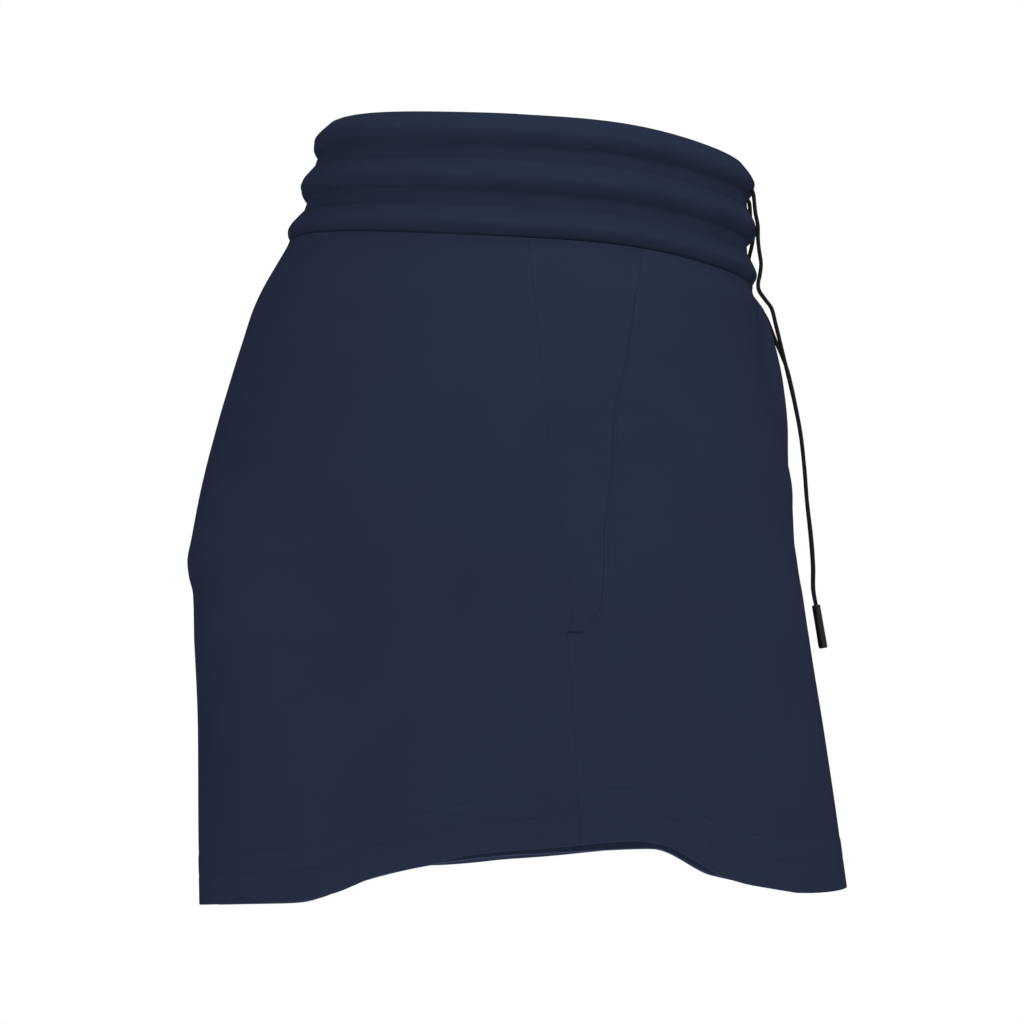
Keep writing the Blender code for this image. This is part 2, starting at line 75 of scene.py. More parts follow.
# %% [markdown]
# ## Shader sums
# A finish is a small sum: yarn up and down, plus a little noise, times a strength. Wiring that
# by hand hides the sum. So one class wraps a socket, and +, - and * on it add Math nodes. A
# second class holds the material and makes every other node in one way.

# %% Sums of sockets
class Shade:
    """An output socket of a finish. Arithmetic on it adds Math nodes."""

    def __init__(self, finish, socket):
        self.finish = finish
        self.socket = socket

    def worked(self, operation, *values):
        return self.finish.node("ShaderNodeMath", {"operation": operation}, dict(enumerate(values)))

    def __add__(self, other):
        return self.worked("ADD", self, other)

    def __radd__(self, other):
        return self.worked("ADD", other, self)

    def __sub__(self, other):
        return self.worked("SUBTRACT", self, other)

    def __rsub__(self, other):
        return self.worked("SUBTRACT", other, self)

    def __mul__(self, other):
        return self.worked("MULTIPLY", self, other)

    def __rmul__(self, other):
        return self.worked("MULTIPLY", other, self)

    def sine(self):
        return self.worked("SINE", self)


# %% Finishes as small sums
CLOTH_MAP = "cloth"                  # the map of every cloth piece: metres across and down it
FIRST_COLOUR, SECOND_COLOUR, MIXED_COLOUR = 6, 7, 2     # sockets of a Mix node set to colours


class Finish:
    """A material, its one Principled shader, and the nodes that feed it."""

    def __init__(self, name, **values):
        self.material = bpy.data.materials.new(name)
        self.material.use_nodes = True
        self.tree = self.material.node_tree
        self.shader = self.tree.nodes["Principled BSDF"]
        self.wear(**values)

    def feed(self, node, socket, value):
        """Links a Shade to a socket, or sets the socket to a plain value."""
        if isinstance(value, Shade):
            self.tree.links.new(value.socket, node.inputs[socket])
        else:
            node.inputs[socket].default_value = value

    def wear(self, **values):
        """Feeds the shader's own sockets; an underscore stands for a space."""
        for socket, value in values.items():
            self.feed(self.shader, socket.replace("_", " "), value)

    def node(self, kind, settings, sockets, output=0):
        """A node of a kind: its settings first, then its sockets. Gives one output as a Shade."""
        made = self.tree.nodes.new(kind)
        for name, value in settings.items():
            setattr(made, name, value)
        for socket, value in sockets.items():
            self.feed(made, socket, value)
        return Shade(self, made.outputs[output])

    def cloth_place(self):
        """The place on the cloth in metres: across it and down it."""
        place = {"Vector": self.node("ShaderNodeUVMap", {"uv_map": CLOTH_MAP}, {})}
        return [self.node("ShaderNodeSeparateXYZ", {}, place, output) for output in (0, 1)]

    def noise(self, patches, detail=3.0, stretch=(1, 1, 1)):
        """Noise from 0 to 1 over the cloth, with so many patches in a metre."""
        place = self.node("ShaderNodeTexCoord", {}, {}, "Object")
        spread = {"Vector": place, "Scale": stretch}
        place = self.node("ShaderNodeMapping", {}, spread)
        looks = {"Vector": place, "Scale": patches, "Detail": detail}
        return self.node("ShaderNodeTexNoise", {}, looks)

    def blend(self, share, first, second):
        """A colour that lies a share of the way from the first to the second."""
        colours = {0: share, FIRST_COLOUR: first, SECOND_COLOUR: second}
        return self.node("ShaderNodeMix", {"data_type": "RGBA"}, colours, MIXED_COLOUR)

    def raised(self, height, distance, strength=1.0):
        """A bumped normal from a height of 0 to 1, where 1 stands for a distance in metres."""
        bump = {"Height": height, "Distance": distance, "Strength": strength}
        return self.node("ShaderNodeBump", {}, bump)


def shaded(colour, factor):
    """A colour made darker or lighter by a factor, with its alpha."""
    return (*(channel * factor for channel in colour), 1.0)


print("sums and finishes are ready")

# %% [markdown]
# ## The navy cloth
# The real cloth is a light, dense weave of fine polyester. It is quite matt, so light spreads
# over it with no gloss, and only a faint nap catches light at its edges. An image of cloth could
# give this, but it would stretch over the folds. Here two sine waves along the cloth's own map
# make the yarns, fine noise makes the fibres, and wide noise keeps the dye from being flat.

# %% Cloth finish
TURN = 2 * math.pi
NAVY = (0.0182, 0.0249, 0.0474)
NAVY_BAND = (0.0180, 0.0246, 0.0468)
YARN = 0.00042                       # metres from one yarn to the next but one
YARN_RELIEF = 0.000035
LIGHTER, DARKER = 1.10, 0.90         # how far the dye, weave and fibres move the colour
DYE_PATCHES = 26                     # in a metre
FIBRE_PATCHES = 2400


def cloth_finish(name, colour):
    """The navy weave in a colour."""
    finish = Finish(name, Specular_IOR_Level=0.0)
    across, down = finish.cloth_place()
    weave = (across * (TURN / YARN)).sine() * (down * (TURN / YARN)).sine()
    fibres = finish.noise(FIBRE_PATCHES, detail=2)
    dye = finish.noise(DYE_PATCHES, detail=5)
    depth = weave * 0.18 + dye * 0.9 + fibres * 0.25 - 0.08
    finish.wear(
        Base_Color=finish.blend(depth, shaded(colour, DARKER), shaded(colour, LIGHTER)),
        Roughness=0.80 + fibres * 0.16,
        Normal=finish.raised(weave * 0.5 + fibres * 0.6, YARN_RELIEF, 0.6))
    return finish.material


panel_cloth = cloth_finish("panel_cloth_fine", NAVY)
band_cloth = cloth_finish("band_cloth_fine", NAVY_BAND)
print("cloth finishes:", panel_cloth.name, band_cloth.name)

# %% [markdown]
# ## Thread, cord and tip finishes
# Thread and cord are twisted or braided, so their surface is a fine slanted ribbing. Carving it
# in mesh would cost many faces for something thinner than a hair. A bump from sine waves over
# the tube's own map, round it and along it, shows the same strands up close.

# %% Thread, cord and tip finishes
THREAD_NAVY = (0.0125, 0.0171, 0.0325)
CORD_BLACK = (0.0100, 0.0102, 0.0108)
TIP_BLACK = (0.0085, 0.0085, 0.0090)
BRAID = 0.0011                       # metres along the cord from one crossing to the next
BRAID_STRANDS = 8
TWIST = 0.0006                       # metres along a thread for one turn of its plies
THREAD_PLIES = 2
THREAD_RELIEF = 0.00005
BRAID_RELIEF = 0.00012
SCUFF_RELIEF = 0.00003


def thread_finish(name, colour):
    """Sewing thread: two plies twisted together."""
    finish = Finish(name, Specular_IOR_Level=0.05)
    around, along = finish.cloth_place()
    plies = (around * TURN * THREAD_PLIES + along * (TURN / TWIST)).sine()
    fuzz = finish.noise(FIBRE_PATCHES, detail=2)
    finish.wear(
        Base_Color=finish.blend(fuzz, shaded(colour, 0.8), shaded(colour, 1.2)),
        Roughness=0.62 + fuzz * 0.2,
        Normal=finish.raised(plies * 0.5 + fuzz * 0.4, THREAD_RELIEF))
    return finish.material


def cord_finish():
    """Thin round braid: strands that run both ways round the cord and cross."""
    finish = Finish("cord_braid", Specular_IOR_Level=0.12)
    around, along = finish.cloth_place()
    right = (around * (TURN * BRAID_STRANDS) + along * (TURN / BRAID)).sine()
    left = (around * (TURN * BRAID_STRANDS) - along * (TURN / BRAID)).sine()
    braid = (right * left) * 0.5 + 0.5
    fuzz = finish.noise(FIBRE_PATCHES, detail=2)
    finish.wear(
        Base_Color=finish.blend(braid, shaded(CORD_BLACK, 0.55), shaded(CORD_BLACK, 1.25)),
        Roughness=0.66 + fuzz * 0.2,
        Normal=finish.raised(braid + fuzz * 0.3, BRAID_RELIEF))
    return finish.material


def tip_finish():
    """A black plastic sleeve, satin, with faint marks of the press and light scuffs."""
    finish = Finish("tip_sleeve", Specular_IOR_Level=0.22)
    scuffs = finish.noise(900, detail=4, stretch=(1, 1, 0.12))
    mould = finish.noise(300, detail=2)
    finish.wear(
        Base_Color=finish.blend(scuffs, shaded(TIP_BLACK, 0.8), shaded(TIP_BLACK, 1.3)),
        Roughness=0.34 + scuffs * 0.22,
        Normal=finish.raised(mould * 0.5 + scuffs * 0.5, SCUFF_RELIEF))
    return finish.material


navy_thread = thread_finish("navy_thread", THREAD_NAVY)
black_braid = cord_finish()
black_sleeve = tip_finish()
print("thread, cord and tip finishes are ready")

# %% [markdown]
# ## Meshes from grids
# Every piece here is a sheet or a tube of points in rows and columns. One helper turns such a
# grid of points into a mesh with its cloth map, and another makes tubes along lines. Curves with
# a bevel would make tubes too, but they give no map in metres for the braid.

# %% Mesh helpers
def mesh_piece(name, points, faces, places, material):
    """A smooth object from points, faces and each point's place on the cloth in metres."""
    mesh = bpy.data.meshes.new(name)
    mesh.from_pydata(points.reshape(-1, 3).tolist(), [], faces.reshape(-1, faces.shape[-1]).tolist())
    mesh.update()
    corners = np.empty(len(mesh.loops), dtype=np.int32)
    mesh.loops.foreach_get("vertex_index", corners)
    mesh.uv_layers.new(name=CLOTH_MAP).data.foreach_set("uv", places.reshape(-1, 2)[corners].ravel())
    mesh.shade_smooth()
    mesh.materials.append(material)
    made = bpy.data.objects.new(name, mesh)
    bpy.context.scene.collection.objects.link(made)
    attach(made, "root")
    return made


def grid_faces(rows, columns, closed=False):
    """The four corners of each cell of a grid; closed joins the last column to the first."""
    index = np.arange(rows * columns).reshape(rows, columns)
    if closed:
        index = np.concatenate((index, index[:, :1]), axis=1)
    return np.stack((index[:-1, :-1], index[1:, :-1], index[1:, 1:], index[:-1, 1:]), axis=-1)


def ring_faces(rows, columns):
    """The faces of a grid that closes on itself both ways."""
    return grid_faces(rows + 1, columns, closed=True).reshape(-1, 4) % (rows * columns)


def unit(vectors):
    """Vectors made one metre long."""
    return vectors / np.maximum(np.linalg.norm(vectors, axis=-1, keepdims=True), 1e-12)


def length_along(points):
    """How far each point of a line lies from its first, in metres."""
    steps = np.linalg.norm(np.diff(points, axis=0), axis=1)
    return np.concatenate(([0.0], np.cumsum(steps)))


def frames_along(line):
    """For each point of a line, two directions square to it that turn no more than it does."""
    ahead = unit(np.gradient(line, axis=0))
    side = np.empty_like(ahead)
    last = np.cross(ahead[0], (0.0, 0.0, 1.0))
    if np.linalg.norm(last) < 0.1:
        last = np.cross(ahead[0], (1.0, 0.0, 0.0))
    for i, direction in enumerate(ahead):
        last = last - direction * np.dot(last, direction)
        last = last / np.linalg.norm(last)
        side[i] = last
    return side, np.cross(ahead, side)


def tube(name, line, radii, across, up, along, sides, material):
    """Rings round a line, each with its radius and two directions; along is their place on the map."""
    around = np.arange(sides) * TURN / sides
    rings = (line[:, None] + radii[:, None, None] * (np.cos(around)[None, :, None] * across
                                                      + np.sin(around)[None, :, None] * up))
    faces = grid_faces(len(line), sides, closed=True).reshape(-1, 4)
    places = np.stack((np.tile(around / TURN, len(line)), np.repeat(along, sides)), axis=1)
    return mesh_piece(name, rings, faces[:, ::-1], places, material)


print("mesh helpers are ready")

# %% [markdown]
# ## The drawcord
# A thin round braid runs in the waistband and leaves by two eyelets at the front. Each free end
# hangs over the puffs, then down the front to its tip. It could be a simulated rope. Its line is
# read off the photo's edge instead, because that is where it shows, with a kink above each tip.

# %% Cord sizes and routes, as in the solids but for the first millimetres
CORD_DIAMETER = 0.0019
CORD_SIDES = 20
CORD_SPACING = 0.0007
CORD_UNEVEN = 0.03                   # share by which the braid swells and thins
QUICK_WAVE, SLOW_WAVE = 0.0137, 0.031574     # metres along the cord from one to the next
INTO_EYELET = 0.0015                 # how far the cord goes on inside the band
INTO_TIP = 0.0012
TIP_LENGTH = 0.0205
TIP_DIAMETER = 0.0040
SEAM_GAP = 0.0003
CORD_ROUTES = {
    "right": (
        (-0.0260, -0.1095, 0.0066), (-0.0261, -0.1104, 0.0052), (-0.0262, -0.1109, 0.0030),
        (-0.0264, -0.1112, 0.0000), (-0.0268, -0.1117, -0.0050), (-0.0273, -0.1128, -0.0110),
        (-0.0279, -0.1128, -0.0165), (-0.0285, -0.1133, -0.0225), (-0.0291, -0.1142, -0.0290),
        (-0.0296, -0.1136, -0.0345), (-0.0300, -0.1128, -0.0385), (-0.0303, -0.1133, -0.0420),
        (-0.0306, -0.1160, -0.0460), (-0.0309, -0.1191, -0.0505), (-0.0312, -0.1209, -0.0575),
        (-0.0316, -0.1234, -0.0680), (-0.0320, -0.1264, -0.0805), (-0.0324, -0.1297, -0.0950),
        (-0.0328, -0.1325, -0.1100), (-0.0333, -0.1342, -0.1260), (-0.0338, -0.1353, -0.1410),
        (-0.0343, -0.1369, -0.1570), (-0.0347, -0.1379, -0.1710), (-0.0350, -0.1380, -0.1820),
        (-0.0351, -0.1393, -0.1895),
    ),
    "left": (
        (0.0260, -0.1095, 0.0066), (0.0263, -0.1104, 0.0052), (0.0267, -0.1108, 0.0030),
        (0.0273, -0.1110, 0.0000), (0.0287, -0.1113, -0.0050), (0.0305, -0.1124, -0.0110),
        (0.0325, -0.1117, -0.0160), (0.0348, -0.1105, -0.0215), (0.0372, -0.1106, -0.0275),
        (0.0390, -0.1115, -0.0330), (0.0405, -0.1118, -0.0380), (0.0415, -0.1154, -0.0430),
        (0.0425, -0.1196, -0.0500), (0.0441, -0.1232, -0.0590), (0.0457, -0.1268, -0.0670),
        (0.0470, -0.1297, -0.0750), (0.0480, -0.1330, -0.0895), (0.0490, -0.1358, -0.1047),
        (0.0500, -0.1376, -0.1210), (0.0510, -0.1388, -0.1363), (0.0516, -0.1407, -0.1526),
        (0.0521, -0.1418, -0.1669), (0.0524, -0.1418, -0.1782), (0.0525, -0.1430, -0.1859),
    ),
}


def smooth_line(route, spacing, steps=24):
    """Points at an even spacing along a smooth curve through the route's points."""
    points = np.array(route, dtype=float)
    points = np.concatenate(([2 * points[0] - points[1]], points, [2 * points[-1] - points[-2]]))
    a, b, c, d = (points[i:len(points) - 3 + i, None] for i in range(4))
    q = (np.arange(steps) / steps)[None, :, None]
    fine = 0.5 * (2 * b + (c - a) * q + (2 * a - 5 * b + 4 * c - d) * q ** 2
                  + (3 * b - a - 3 * c + d) * q ** 3)
    fine = np.concatenate((fine.reshape(-1, 3), points[-2:-1]))
    far = length_along(fine)
    even = np.linspace(0, far[-1], round(far[-1] / spacing) + 1)
    return np.stack([np.interp(even, far, fine[:, axis]) for axis in range(3)], axis=1)


print("cord routes of", ", ".join(str(len(route)) for route in CORD_ROUTES.values()), "points")

# %% [markdown]
# ## Cord tips
# A straight sleeve is pressed over each cut end so that it can't fray. It is a tube with rounded
# rims and a shallow ring near its mouth. A turned profile gives it, because everything on it is
# round, and the mouth is left open so that the cord can be seen going in.

# %% Cord ends with their tips
TIP_SIDES = 40
TIP_PROFILE = (                      # (share of the length, share of the radius)
    (0.030, 0.520), (0.004, 0.600), (0.000, 0.780), (0.006, 0.930), (0.022, 1.000), (0.060, 1.000),
    (0.075, 0.955), (0.095, 0.955), (0.110, 1.000), (0.500, 0.992), (0.940, 1.000), (0.980, 0.985),
    (0.996, 0.900), (1.000, 0.700), (0.998, 0.300), (0.996, 0.000),
)


def cord_tip(side):
    """The sleeve on one end, in line with the cord's last stretch."""
    end, before = (np.array(point) for point in (CORD_ROUTES[side][-1], CORD_ROUTES[side][-2]))
    ahead = unit(end - before)
    line = np.array([end + ahead * (SEAM_GAP + TIP_LENGTH * far) for far, _ in TIP_PROFILE])
    radii = np.array([TIP_DIAMETER / 2 * wide for _, wide in TIP_PROFILE])
    across = unit(np.cross(ahead, (0.0, 1.0, 0.0)))
    up = np.cross(ahead, across)
    along = [far * TIP_LENGTH for far, _ in TIP_PROFILE]
    made = tube(f"tip_{side}", line, radii, across, up, along, TIP_SIDES, black_sleeve)
    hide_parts(f"cord_tip_{side}")
    return made


def cord_end(side):
    """One free end of the cord, from just inside its eyelet into its tip."""
    route = [np.array(point) for point in CORD_ROUTES[side]]
    inwards = unit(route[0] - route[1]) * INTO_EYELET
    onwards = unit(route[-1] - route[-2]) * INTO_TIP
    line = smooth_line([route[0] + inwards, *route, route[-1] + onwards], CORD_SPACING)
    along = length_along(line)
    uneven = 1 + CORD_UNEVEN * np.sin(along * TURN / QUICK_WAVE) * np.sin(along * TURN / SLOW_WAVE)
    radii = CORD_DIAMETER / 2 * uneven
    across, up = (direction[:, None] for direction in frames_along(line))
    made = tube(f"cord_{side}", line, radii, across, up, along, CORD_SIDES, black_braid)
    tip = cord_tip(side)
    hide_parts(f"drawcord_{side}")
    return line


for side in CORD_ROUTES:
    line = cord_end(side)
    print(f"the {side} cord end is {length_along(line)[-1] * 1000:.0f} mm long")

# %% [markdown]
# ## The form of the shorts
# A maker cuts panels, but the filled-out shorts are easier to know by their level cuts. Above
# the fork each half is half an oval. Below it the oval slides outwards and closes into a leg.
# A few cuts in a table, read on a smooth curve, give the whole surface. The same tables are in
# the solids, so the fine cloth lies exactly where the plain cloth was.

# %% Sizes of the form, as in the solids
CLOTH = 0.0008                       # the solids use 1.4 mm, and 2.4 mm at the hem
HEM_CLOTH = 0.0018
HEM_PROUD = 0.0002
HALF_GAP = 0.00001                   # the solids leave 0.15 mm each side of a seam
BAND_HEIGHT = 0.058
BAND_TOP = BAND_HEIGHT / 2
WAIST_SEAM = -BAND_HEIGHT / 2 - SEAM_GAP
FORK = -0.105
CROTCH = -0.208
HEM = -0.3295
HEM_TURN_UP = 0.0245
WAIST_TILT = 0.096
HIP_RISE = 0.0034
HIP_TURN = 158
HIP_WIDTH = 30
TILT_ROUNDS = 4
OVAL = 2.3
FORK_POWER = 4.0
LEG_PARTING = 0.009

Cut = namedtuple("Cut", "height front back half_width")
CUTS = (
    Cut(-0.016, 0.1040, 0.1050, 0.1305),
    Cut(-0.030, 0.1060, 0.1145, 0.1345),
    Cut(-0.040, 0.1090, 0.1205, 0.1405),
    Cut(-0.050, 0.1130, 0.1252, 0.1460),
    Cut(-0.064, 0.1140, 0.1298, 0.1510),
    Cut(-0.082, 0.1168, 0.1354, 0.1570),
    Cut(-0.110, 0.1233, 0.1434, 0.1640),
    Cut(-0.139, 0.1286, 0.1498, 0.1700),
    Cut(-0.160, 0.1287, 0.1528, 0.1735),
    Cut(-0.170, 0.1296, 0.1541, 0.1750),
    Cut(-0.178, 0.1304, 0.1530, 0.1759),
    Cut(-0.186, 0.1315, 0.1508, 0.1768),
    Cut(-0.205, 0.1337, 0.1494, 0.1785),
    Cut(-0.250, 0.1406, 0.1470, 0.1815),
    Cut(-0.300, 0.1477, 0.1463, 0.1850),
    Cut(-0.330, 0.1515, 0.1456, 0.1870),
)

# %% Lines of the hem and seams, as in the solids
HemPoint = namedtuple("HemPoint", "turn height")
HEM_LINE = (
    HemPoint(0, -0.3065), HemPoint(22, -0.3035), HemPoint(35, -0.3160), HemPoint(50, -0.3205),
    HemPoint(90, -0.3218), HemPoint(122, -0.3244), HemPoint(137, -0.3213), HemPoint(144, -0.3177),
    HemPoint(152, -0.3080), HemPoint(157, -0.3028), HemPoint(162, -0.3013), HemPoint(176, -0.3044),
    HemPoint(186, -0.3075), HemPoint(193, -0.3120), HemPoint(202, -0.3165), HemPoint(212, -0.3248),
    HemPoint(219, -0.3278), HemPoint(232, -0.3292), HemPoint(270, -0.3298), HemPoint(308, -0.3292),
    HemPoint(324, -0.3255), HemPoint(331, -0.3200), HemPoint(347, -0.3110), HemPoint(360, -0.3065),
)
LEFT_HEM_LIFT = (
    HemPoint(0, 0.0000), HemPoint(112, 0.0000), HemPoint(143, 0.0080), HemPoint(157, 0.0012),
    HemPoint(168, -0.0013), HemPoint(185, -0.0013), HemPoint(196, 0.0030), HemPoint(209, 0.0048),
    HemPoint(226, 0.0000), HemPoint(360, 0.0000),
)
SeamPoint = namedtuple("SeamPoint", "height y")
SIDE_SEAM = (
    SeamPoint(-0.016, -0.0035), SeamPoint(-0.120, -0.0140), SeamPoint(-0.208, -0.0220),
    SeamPoint(-0.330, -0.0300),
)
POCKET_MOUTH = (                     # the solids have a straighter one, with three points
    SeamPoint(-0.0160, -0.0570), SeamPoint(-0.0387, -0.0547), SeamPoint(-0.0818, -0.0493),
    SeamPoint(-0.1042, -0.0440), SeamPoint(-0.1285, -0.0413), SeamPoint(-0.1455, -0.0372),
    SeamPoint(-0.1662, -0.0336), SeamPoint(-0.1944, -0.0323), SeamPoint(-0.2080, -0.0285),
)
POCKET_UNDERLAP = 0.006
POCKET_STEP = 0.00018                # the solids use 2.2 mm, as their cloth is thicker
POCKET_UNDER = 0.0006                # how much deeper the wedge lies under the front
POCKET_DIVE = 0.001                  # metres over which it goes down to that
POCKET_SLOPE = 0.012                 # metres from the mouth over which the wedge comes up flush
print("the tables hold", len(CUTS), "cuts and", len(HEM_LINE), "points of the hem")

# %% [markdown]
# ## Folds
# The cloth hangs in a few long, soft folds, and between them it is almost smooth. The largest
# are in the solids. The shallow ones are added here: each is a trough or a ridge with its own
# place, length, width and depth, so that no two are alike.

# %% Folds and creases
Fold = namedtuple("Fold", "top bottom turn_top turn_bottom width depth")
FOLD_FULLEST = 0.8
SEAM_HOLD = 0.06                     # share of a row over which a centre seam holds folds down
FOLDS = {
    "right": (
        Fold(-0.120, -0.345, 222, 211, 15, -0.0050),
        Fold(-0.130, -0.350, 240, 234, 17, 0.0030),
        Fold(-0.150, -0.350, 138, 150, 13, -0.0045),
        Fold(-0.190, -0.350, 60, 52, 20, -0.0040),
        Fold(-0.180, -0.350, 312, 305, 20, -0.0040),
    ),
    "left": (
        Fold(-0.135, -0.350, 225, 213, 17, -0.0045),
        Fold(-0.120, -0.345, 144, 152, 14, -0.0050),
        Fold(-0.036, -0.138, 102, 99, 20, 0.0120),
        Fold(-0.200, -0.350, 64, 55, 20, -0.0040),
        Fold(-0.170, -0.350, 308, 300, 22, -0.0040),
    ),
}
CREASES = {
    "right": (
        Fold(-0.165, -0.300, 203, 199, 7, -0.0011),
        Fold(-0.160, -0.300, 191, 187, 9, -0.0018),
        Fold(-0.130, -0.345, 212, 203, 13, -0.0020),
        Fold(-0.140, -0.345, 168, 164, 7, 0.0012),
        Fold(-0.115, -0.190, 146, 138, 10, -0.0026),
        Fold(-0.078, -0.145, 97, 95, 16, 0.0012),
        Fold(-0.050, -0.135, 205, 214, 14, -0.0009),
        Fold(-0.200, -0.330, 118, 121, 9, -0.0010),
        Fold(-0.120, -0.300, 262, 256, 10, -0.0012),
        Fold(-0.090, -0.200, 300, 292, 12, -0.0013),
        Fold(-0.190, -0.345, 282, 279, 9, 0.0010),
    ),
    "left": (
        Fold(-0.160, -0.310, 201, 196, 7, -0.0012),
        Fold(-0.185, -0.290, 184, 181, 6, -0.0008),
        Fold(-0.150, -0.340, 170, 167, 8, 0.0011),
        Fold(-0.050, -0.140, 202, 210, 14, -0.0010),
        Fold(-0.190, -0.335, 121, 118, 10, -0.0011),
        Fold(-0.110, -0.290, 258, 252, 11, -0.0012),
        Fold(-0.085, -0.190, 296, 301, 12, -0.0012),
        Fold(-0.200, -0.345, 280, 276, 8, 0.0009),
        Fold(-0.180, -0.300, 84, 90, 12, -0.0011),
    ),
}
print("folds and creases:", {side: len(FOLDS[side]) + len(CREASES[side]) for side in FOLDS})

# %% [markdown]
# ## Reading the tables
# These are the formulas of the solids again, written for whole arrays of points at once. A grid
# of thirty thousand points then takes a fraction of a second, where a loop would take minutes.

# %% Curves through the tables
def mix(a, b, share):
    """The value that lies a share of the way from a to b."""
    return a + (b - a) * share


def ease(share):
    """A share from 0 to 1, eased at both ends."""
    share = np.clip(share, 0.0, 1.0)
    return share * share * (3 - 2 * share)


def power(value, exponent):
    """A power that keeps the sign of its value."""
    return np.copysign(np.abs(value) ** exponent, value)


def read(table, place, column):
    """A column of a table read between its rows on a smooth curve; the first column is the place."""
    rows = sorted(table)
    keys = np.array([row[0] for row in rows], dtype=float)
    values = np.array([getattr(row, column) for row in rows], dtype=float)
    place = np.clip(place, keys[0], keys[-1])
    slopes = np.diff(values) / np.diff(keys)
    before, after = np.concatenate((slopes[:1], slopes)), np.concatenate((slopes, slopes[-1:]))
    turning = before * after <= 0
    tangents = np.where(turning, 0.0, 2 * before * after / np.where(turning, 1.0, before + after))
    i = np.clip(np.searchsorted(keys, place, side="right") - 1, 0, len(keys) - 2)
    span = keys[i + 1] - keys[i]
    q = (place - keys[i]) / span
    bend_in = span * tangents[i] * q * (1 - q) ** 2
    bend_out = span * tangents[i + 1] * q * q * (1 - q)
    return mix(values[i], values[i + 1], ease(q)) + bend_in - bend_out


# %% The level cuts
YOKE_ROWS = 6
FORK_ROWS = 11
LEG_ROWS = 5
HEM_ROWS = 2
CROTCH_ROW = YOKE_ROWS + FORK_ROWS
HEM_ROW = CROTCH_ROW + LEG_ROWS
LAST_ROW = HEM_ROW + HEM_ROWS
YOKE_CROWDING = 1.25
HEM_STEP = 0.25
MEASURED_STEPS = 48
NORMAL_STEP = 0.01


def oval_place(height):
    """The middle and half width of the oval of a level cut, measured outwards from the middle."""
    half = read(CUTS, height, "half_width")
    closed = np.clip((FORK - height) / (FORK - CROTCH), 0.0, 1.0) ** (FORK_POWER / OVAL)
    inner = HALF_GAP + LEG_PARTING * (CROTCH - height) / (CROTCH - HEM)
    middle = np.where(height > CROTCH, (HALF_GAP + half * closed) / (1 + closed), (half + inner) / 2)
    return middle, half - middle


def reach(height, forwards):
    """How far the oval reaches to the front where forwards is above 0, and else to the back."""
    return np.where(forwards > 0, read(CUTS, height, "front"), read(CUTS, height, "back"))


def level_cut(height, turn):
    """The point of the right half's level cut at a turn in radians."""
    middle, half = oval_place(height)
    x = -middle + half * power(np.cos(turn), 2 / OVAL)
    y = -reach(height, np.sin(turn)) * power(np.sin(turn), 2 / OVAL)
    x, y, z = np.broadcast_arrays(np.minimum(x, -HALF_GAP), y, height)
    return np.stack((x, y, z), axis=-1)


def turn_at(height, share):
    """The turn at a share of the way round, from the centre front or a leg's inseam."""
    inseam = np.arcsin((HALF_GAP / reach(height, 1.0)) ** (OVAL / 2))
    middle, half = oval_place(height)
    open_share = np.clip((middle - HALF_GAP) / half, 0.0, 1.0) ** (OVAL / 2)
    start = np.where(height <= CROTCH, inseam, np.maximum(inseam, np.arccos(open_share)))
    return start + share * (TURN - 2 * start), start


def share_of(height, y):
    """The share of the way round at which the outer side of a level cut passes a y."""
    turn = math.pi - np.copysign(1, -y) * np.arcsin((np.abs(y) / reach(height, -y)) ** (OVAL / 2))
    start = turn_at(height, 0.0)[1]
    return (turn - start) / (TURN - 2 * start)


def waist_rise(y, turn):
    """How far the waist rises above the level at a y and a turn in radians."""
    away = (np.degrees(turn) - HIP_TURN) / HIP_WIDTH
    return WAIST_TILT * y + HIP_RISE * np.exp(-away * away)


# %% Rows and shares of the form
def heights_of(row, share):
    """The level whose cut a row follows at its ends, and the row's own height at a share."""
    outwards = np.sin(math.pi * share) ** 2
    down = (np.clip(row, 0, YOKE_ROWS) / YOKE_ROWS) ** YOKE_CROWDING
    yoke_level = mix(WAIST_SEAM, FORK, down)
    turn, yoke_height = turn_at(yoke_level, share)[0], yoke_level
    for _ in range(TILT_ROUNDS):
        rise = waist_rise(level_cut(yoke_height, turn)[..., 1], turn)
        yoke_height = yoke_level + rise * (1 - ease(down))

    down = np.clip((row - YOKE_ROWS) / FORK_ROWS, 0, 1)
    fork_level = mix(FORK, CROTCH, np.sin(down * math.pi / 2))
    fork_height = mix(fork_level, mix(FORK, CROTCH, down), outwards)

    hem_top = read(HEM_LINE, np.degrees(turn_at(HEM, share)[0]), "height") + HEM_TURN_UP
    leg_height = np.where(row <= HEM_ROW, mix(CROTCH, hem_top, (row - CROTCH_ROW) / LEG_ROWS),
                          hem_top - HEM_TURN_UP * (row - HEM_ROW) / HEM_ROWS)
    in_yoke, in_fork = row <= YOKE_ROWS, row <= CROTCH_ROW
    level = np.where(in_yoke, yoke_level, np.where(in_fork, fork_level, leg_height))
    height = np.where(in_yoke, yoke_height, np.where(in_fork, fork_height, leg_height))
    return level, height


def form(row, share):
    """The point of the right half's form at a row and share."""
    level, height = heights_of(row, share)
    return level_cut(height, turn_at(level, share)[0])


def outward(row, share):
    """The form's normal at a row and share."""
    across = (form(row, np.minimum(1, share + NORMAL_STEP))
              - form(row, np.maximum(0, share - NORMAL_STEP)))
    down = (form(np.minimum(LAST_ROW, row + NORMAL_STEP), share)
            - form(np.maximum(0, row - NORMAL_STEP), share))
    return unit(np.cross(across, down))


def round_trip(row):
    """The length of each row from the centre front to the centre back, by its points."""
    points = form(np.asarray(row, dtype=float)[..., None], np.linspace(0, 1, MEASURED_STEPS + 1))
    return np.linalg.norm(np.diff(points, axis=-2), axis=-1).sum(axis=-1)


